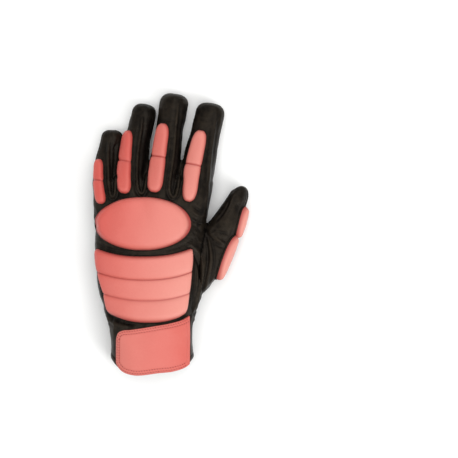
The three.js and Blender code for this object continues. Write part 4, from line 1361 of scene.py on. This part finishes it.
class GLOVE_OT_pads(bpy.types.Operator):
    """Builds the foam pads under their coral leather, each sewn down inside a black rim"""

    bl_idname = "glove.pads"
    bl_label = "Pads"

    def execute(self, context):
        sizes = context.scene.glove_sizes
        jobs = [
            Pad("knuckle_pad_cover", "knuckle_pad", HAND, KNUCKLE_PAD, sizes.knuckle_pad, 64, 90, 5.5,
                lay=let_down),
            Pad("hand_pad_cover", "hand_pad", HAND, HAND_PAD, sizes.hand_pad, 110, 96, 4.5,
                bow=HAND_PAD_BOW, channels=HAND_PAD_CHANNELS),
        ]
        for name in FINGERS:
            start, end = FINGER_PADS[name][:2]
            jobs.append(Pad(f"{name}_pad_cover", f"{name}_finger_pad", DIGITS[name],
                            digit_rows(FINGER_PAD_SHAPE, FINGER_PADS[name]), sizes.finger_pad, 90, 30,
                            4.6, channels=(start + FINGER_CREASE * (end - start),)))
        for name, place in THUMB_PADS.items():
            jobs.append(Pad(f"{name}_cover", name, DIGITS["thumb"], digit_rows(THUMB_PAD_SHAPE, place),
                            sizes.thumb_pad, 60, 30, 4.6))
        # A pad rises by its dome, less towards its sides and where the limb turns away from above. Its
        # channels are bell curves pressed into it, a narrow one and a wide one. Its depth, which paints
        # shade on it as a deeper red, is 1 at its rim and in a channel.
        rims, rim_faces = [], []
        for pad in jobs:
            rows, columns = pad.rows, pad.columns
            points, normals, along, across = bed(pad.limb, pad.table, rows, columns, pad.bow, pad.lay)
            rim = rim_of(rows, columns)
            distance = to_rim(points, rim)
            rise = dome(distance, pad.radius)
            side = (2 * across - 1) ** 2
            steep = np.clip((normals @ limb_top(pad.limb)) / 0.75, 0.22, 1)
            height = pad.thick * 1000 * rise * steep * (1.0 - 0.10 * side) - 0.25
            depth = np.clip(1 - distance / 2.2, 0, 1) ** 1.5
            for channel in pad.channels:
                away = (along - channel) * pad.limb["length"]
                pressed = 0.34 * bump(away, 0.6) + 0.12 * bump(away, 3.4)
                height -= pad.thick * 1000 * rise * steep * pressed
                depth = np.maximum(depth, 0.95 * bump(away, 0.6))
            height += 0.12 * ripples(points, 16, 7) * rise
            points, normals = evened(points, normals, rise, rows, columns)
            skin, faces = closed_pad(points, normals, height, rows, columns)
            piece = new_piece(pad.name, skin, faces, [finish_of("coral_coated_leather")],
                              {"depth": np.concatenate([depth, depth])})
            dressed(piece, "coral_leather", pad.solid)
            line = points[np.append(rim, rim[0])] + normals[np.append(rim, rim[0])] * 0.1
            piping, piping_faces = tube(evenly(line, PIPING_PITCH)[0], PIPING_RADIUS, 10)
            rim_faces.append(piping_faces + sum(map(len, rims)))
            rims.append(piping)
        piece = new_piece("pad_rims", np.concatenate(rims), np.concatenate(rim_faces).tolist(),
                          [finish_of("black_goat_leather")])
        dressed(piece, "leather")
        return {"FINISHED"}


class GLOVE_OT_strap(bpy.types.Operator):
    """Builds the closure strap and the stitches round its edge"""

    bl_idname = "glove.strap"
    bl_label = "Closure strap"

    def execute(self, context):
        # The strap rises to its thickness by a narrow dome, and both rows of stitches press it in.
        sizes = context.scene.glove_sizes
        rows, columns = 90, 130
        points, normals = strap_bed(rows, columns)
        rim = rim_of(rows, columns)
        distance = to_rim(points, rim)
        thick = sizes.strap * 1000
        height = thick * (0.35 + 0.65 * dome(distance, 1.2))
        for inset in STRAP_STITCH_ROWS:
            height -= 0.3 * bump(distance - inset, 0.6)
        height += 0.22 * ripples(points, 24, 11) * np.clip(distance / 5, 0, 1)
        # Painted shade: depth turns the strap a deeper red at its edge and along both rows of stitches.
        depth = 0.55 * np.clip(1 - distance / 0.9, 0, 1)
        for inset in STRAP_STITCH_ROWS:
            depth += 0.15 * bump(distance - inset, 0.6)
        skin, faces = closed_pad(points, normals, height, rows, columns, 0.3)
        piece = new_piece("strap_leather", skin, faces, [finish_of("coral_strap_leather")],
                          {"depth": np.concatenate([depth, depth])})
        dressed(piece, "coral_leather", "closure_strap")
        # The stitches leave out the right end, and each row starts after the gap that this leaves.
        sewn, sewn_faces = [], []
        keep = points[rim][:, 0] < points[:, 0].max() - 2.5
        for inset in STRAP_STITCH_ROWS:
            line, normal = inset_line(points, normals, height, rim, inset, keep)
            start = np.argmax(np.linalg.norm(np.diff(line, axis=0), axis=1)) + 1
            line, normal = np.roll(line, -start, 0), np.roll(normal, -start, 0)
            at, ahead = evenly(line, sizes.stitch_pitch * 1000)
            out = normal[nearest(at, line)]
            made, quads, caps = stitches(at, ahead, out, sizes.stitch_length * 1000, THREAD)
            before = sum(map(len, sewn))
            sewn_faces += (quads + before).tolist() + (caps + before).tolist()
            sewn.append(made)
        piece = new_piece("strap_stitches", np.concatenate(sewn), sewn_faces,
                          [finish_of("coral_bonded_thread")])
        dressed(piece, "coral_leather")
        return {"FINISHED"}


class GLOVE_OT_hem(bpy.types.Operator):
    """Builds the folded binding round the cuff's mouth"""

    bl_idname = "glove.hem"
    bl_label = "Hem binding"

    def execute(self, context):
        sizes = context.scene.glove_sizes
        reach, wall = sizes.binding * 1000, sizes.wall * 1000
        # From its outer edge down over the leather, round the hem, up inside, and back between both.
        profile = [
            (reach, -0.4), (reach - 0.1, 0.35), (reach - 0.6, 0.75), (reach * 0.5, 0.95), (0.6, 0.85),
            (-0.1, 0.5), (-0.6, -0.4), (-0.75, -1.2), (-0.6, -wall - 0.2), (0.2, -wall - 0.9),
            (reach * 0.5, -wall - 1.1), (reach, -wall - 0.8), (reach, -wall + 0.4), (1.5, -wall + 0.6),
            (1.0, -0.9), (2.5, -0.6),
        ]
        points, faces = binding_skin(profile)
        piece = new_piece("hem_binding", points, faces.tolist(), [finish_of("black_goat_leather")])
        dressed(piece, "leather", "cuff_binding")
        return {"FINISHED"}


class GLOVE_OT_patches(bpy.types.Operator):
    """Builds the reinforcements under the palm and the cuff"""

    bl_idname = "glove.patches"
    bl_label = "Palm and cuff patches"

    def execute(self, context):
        for name, solid, box, corner in (("palm_reinforcement", "palm_patch", PALM_PATCH, 9.0),
                                         ("cuff_grip_panel", "cuff_patch", CUFF_PATCH, 4.0)):
            # The lower face bulges down within its rim, with a groove where it is sewn; the upper one
            # lies hidden in the leather.
            points, distance, rows, columns = rounded_panel(box, corner, 1.6)
            drop = 0.8 * dome(distance, 1.4) - 0.2 * bump(distance - 2.4, 0.5)
            lower = points + np.array([0, 0, 1.0]) * (0.9 - drop)[:, None]
            skin, faces = closed_skin(points + (0, 0, 1.1), lower, rows, columns)
            piece = new_piece(name, skin, faces, [finish_of("black_napped_suede")])
            dressed(piece, "leather", solid)
        return {"FINISHED"}


PHOTO_WIDTH = 0.458  # how wide the photograph's frame is at the height of the glove, in metres
# Each lamp: its name, its place, its side in metres and its watts.
LAMPS = (
    ("side_window", (0.85, -0.6, 0.8), 0.8, 9.0),
    ("far_panel", (0.1, 1.5, 1.1), 0.9, 7.0),
    ("left_fill", (-1.4, -0.2, 1.0), 0.9, 7.0),
    ("ceiling_box", (0.1, 0.0, 2.0), 2.0, 27.0),
)


class GLOVE_OT_stage(bpy.types.Operator):
    """Sets the pale floor, the soft lights and the camera straight above the glove"""

    bl_idname = "glove.stage"
    bl_label = "Floor, lights and camera"

    def execute(self, context):
        mesh = bpy.data.meshes.new("floor")
        mesh.from_pydata([(-3, -3, 0), (3, -3, 0), (3, 3, 0), (-3, 3, 0)], [], [(0, 1, 2, 3)])
        mesh.materials.append(finish_of("white_seamless_paper"))
        floor = bpy.data.objects.new("floor", mesh)
        floor.location.z = -0.0002  # just under the palm, which lies flat
        context.scene.collection.objects.link(floor)
        world = bpy.data.worlds.new("studio")
        world.use_nodes = True
        world.node_tree.nodes["Background"].inputs["Color"].default_value = (1, 1, 1, 1)
        world.node_tree.nodes["Background"].inputs["Strength"].default_value = 0.32
        context.scene.world = world
        context.scene.view_settings.view_transform = "Standard"
        for name, place, size, power in LAMPS:
            data = bpy.data.lights.new(name, "AREA")
            data.shape, data.size, data.energy = "SQUARE", size, power
            lamp = bpy.data.objects.new(name, data)
            lamp.location = place
            aim = mathutils.Vector((0.0, 0.0, 0.02)) - lamp.location
            lamp.rotation_euler = aim.to_track_quat("-Z", "Y").to_euler()
            context.scene.collection.objects.link(lamp)
        data = bpy.data.cameras.new("camera")
        data.lens, data.sensor_width = 200.0, 36.0
        camera = bpy.data.objects.new("camera", data)
        camera.location = (0.0571, 0.0052, 0.03 + PHOTO_WIDTH * data.lens / data.sensor_width)
        context.scene.collection.objects.link(camera)
        context.scene.camera = camera
        return {"FINISHED"}


OPERATORS = (GLOVE_OT_leather, GLOVE_OT_pads, GLOVE_OT_strap, GLOVE_OT_hem, GLOVE_OT_patches,
             GLOVE_OT_stage)


class GLOVE_PT_panel(bpy.types.Panel):
    """Lists the glove's sizes, its colours and the steps that build it"""

    bl_idname = "GLOVE_PT_panel"
    bl_label = "Ski racing glove"
    bl_space_type = "VIEW_3D"
    bl_region_type = "UI"
    bl_category = "Glove"

    def draw(self, context):
        for group in (context.scene.glove_sizes, context.scene.glove_colours):
            for key in group.__annotations__:
                self.layout.prop(group, key)
        for operator in OPERATORS:
            self.layout.operator(operator.bl_idname)


CLASSES = (GloveColours, GloveSizes, *OPERATORS, GLOVE_PT_panel)


def register():
    """Makes the classes and the scene's settings known to Blender."""
    for one in CLASSES:
        bpy.utils.register_class(one)
    bpy.types.Scene.glove_sizes = bpy.props.PointerProperty(type=GloveSizes)
    bpy.types.Scene.glove_colours = bpy.props.PointerProperty(type=GloveColours)


def unregister():
    """Takes back what register did."""
    del bpy.types.Scene.glove_colours
    del bpy.types.Scene.glove_sizes
    for one in reversed(CLASSES):
        bpy.utils.unregister_class(one)


def main():
    """Builds the glove and its stage."""
    register()
    bpy.ops.glove.leather()
    bpy.ops.glove.pads()
    bpy.ops.glove.strap()
    bpy.ops.glove.hem()
    bpy.ops.glove.patches()
    bpy.ops.glove.stage()
    bpy.context.view_layer.update()


if __name__ == "__main__":
    main()
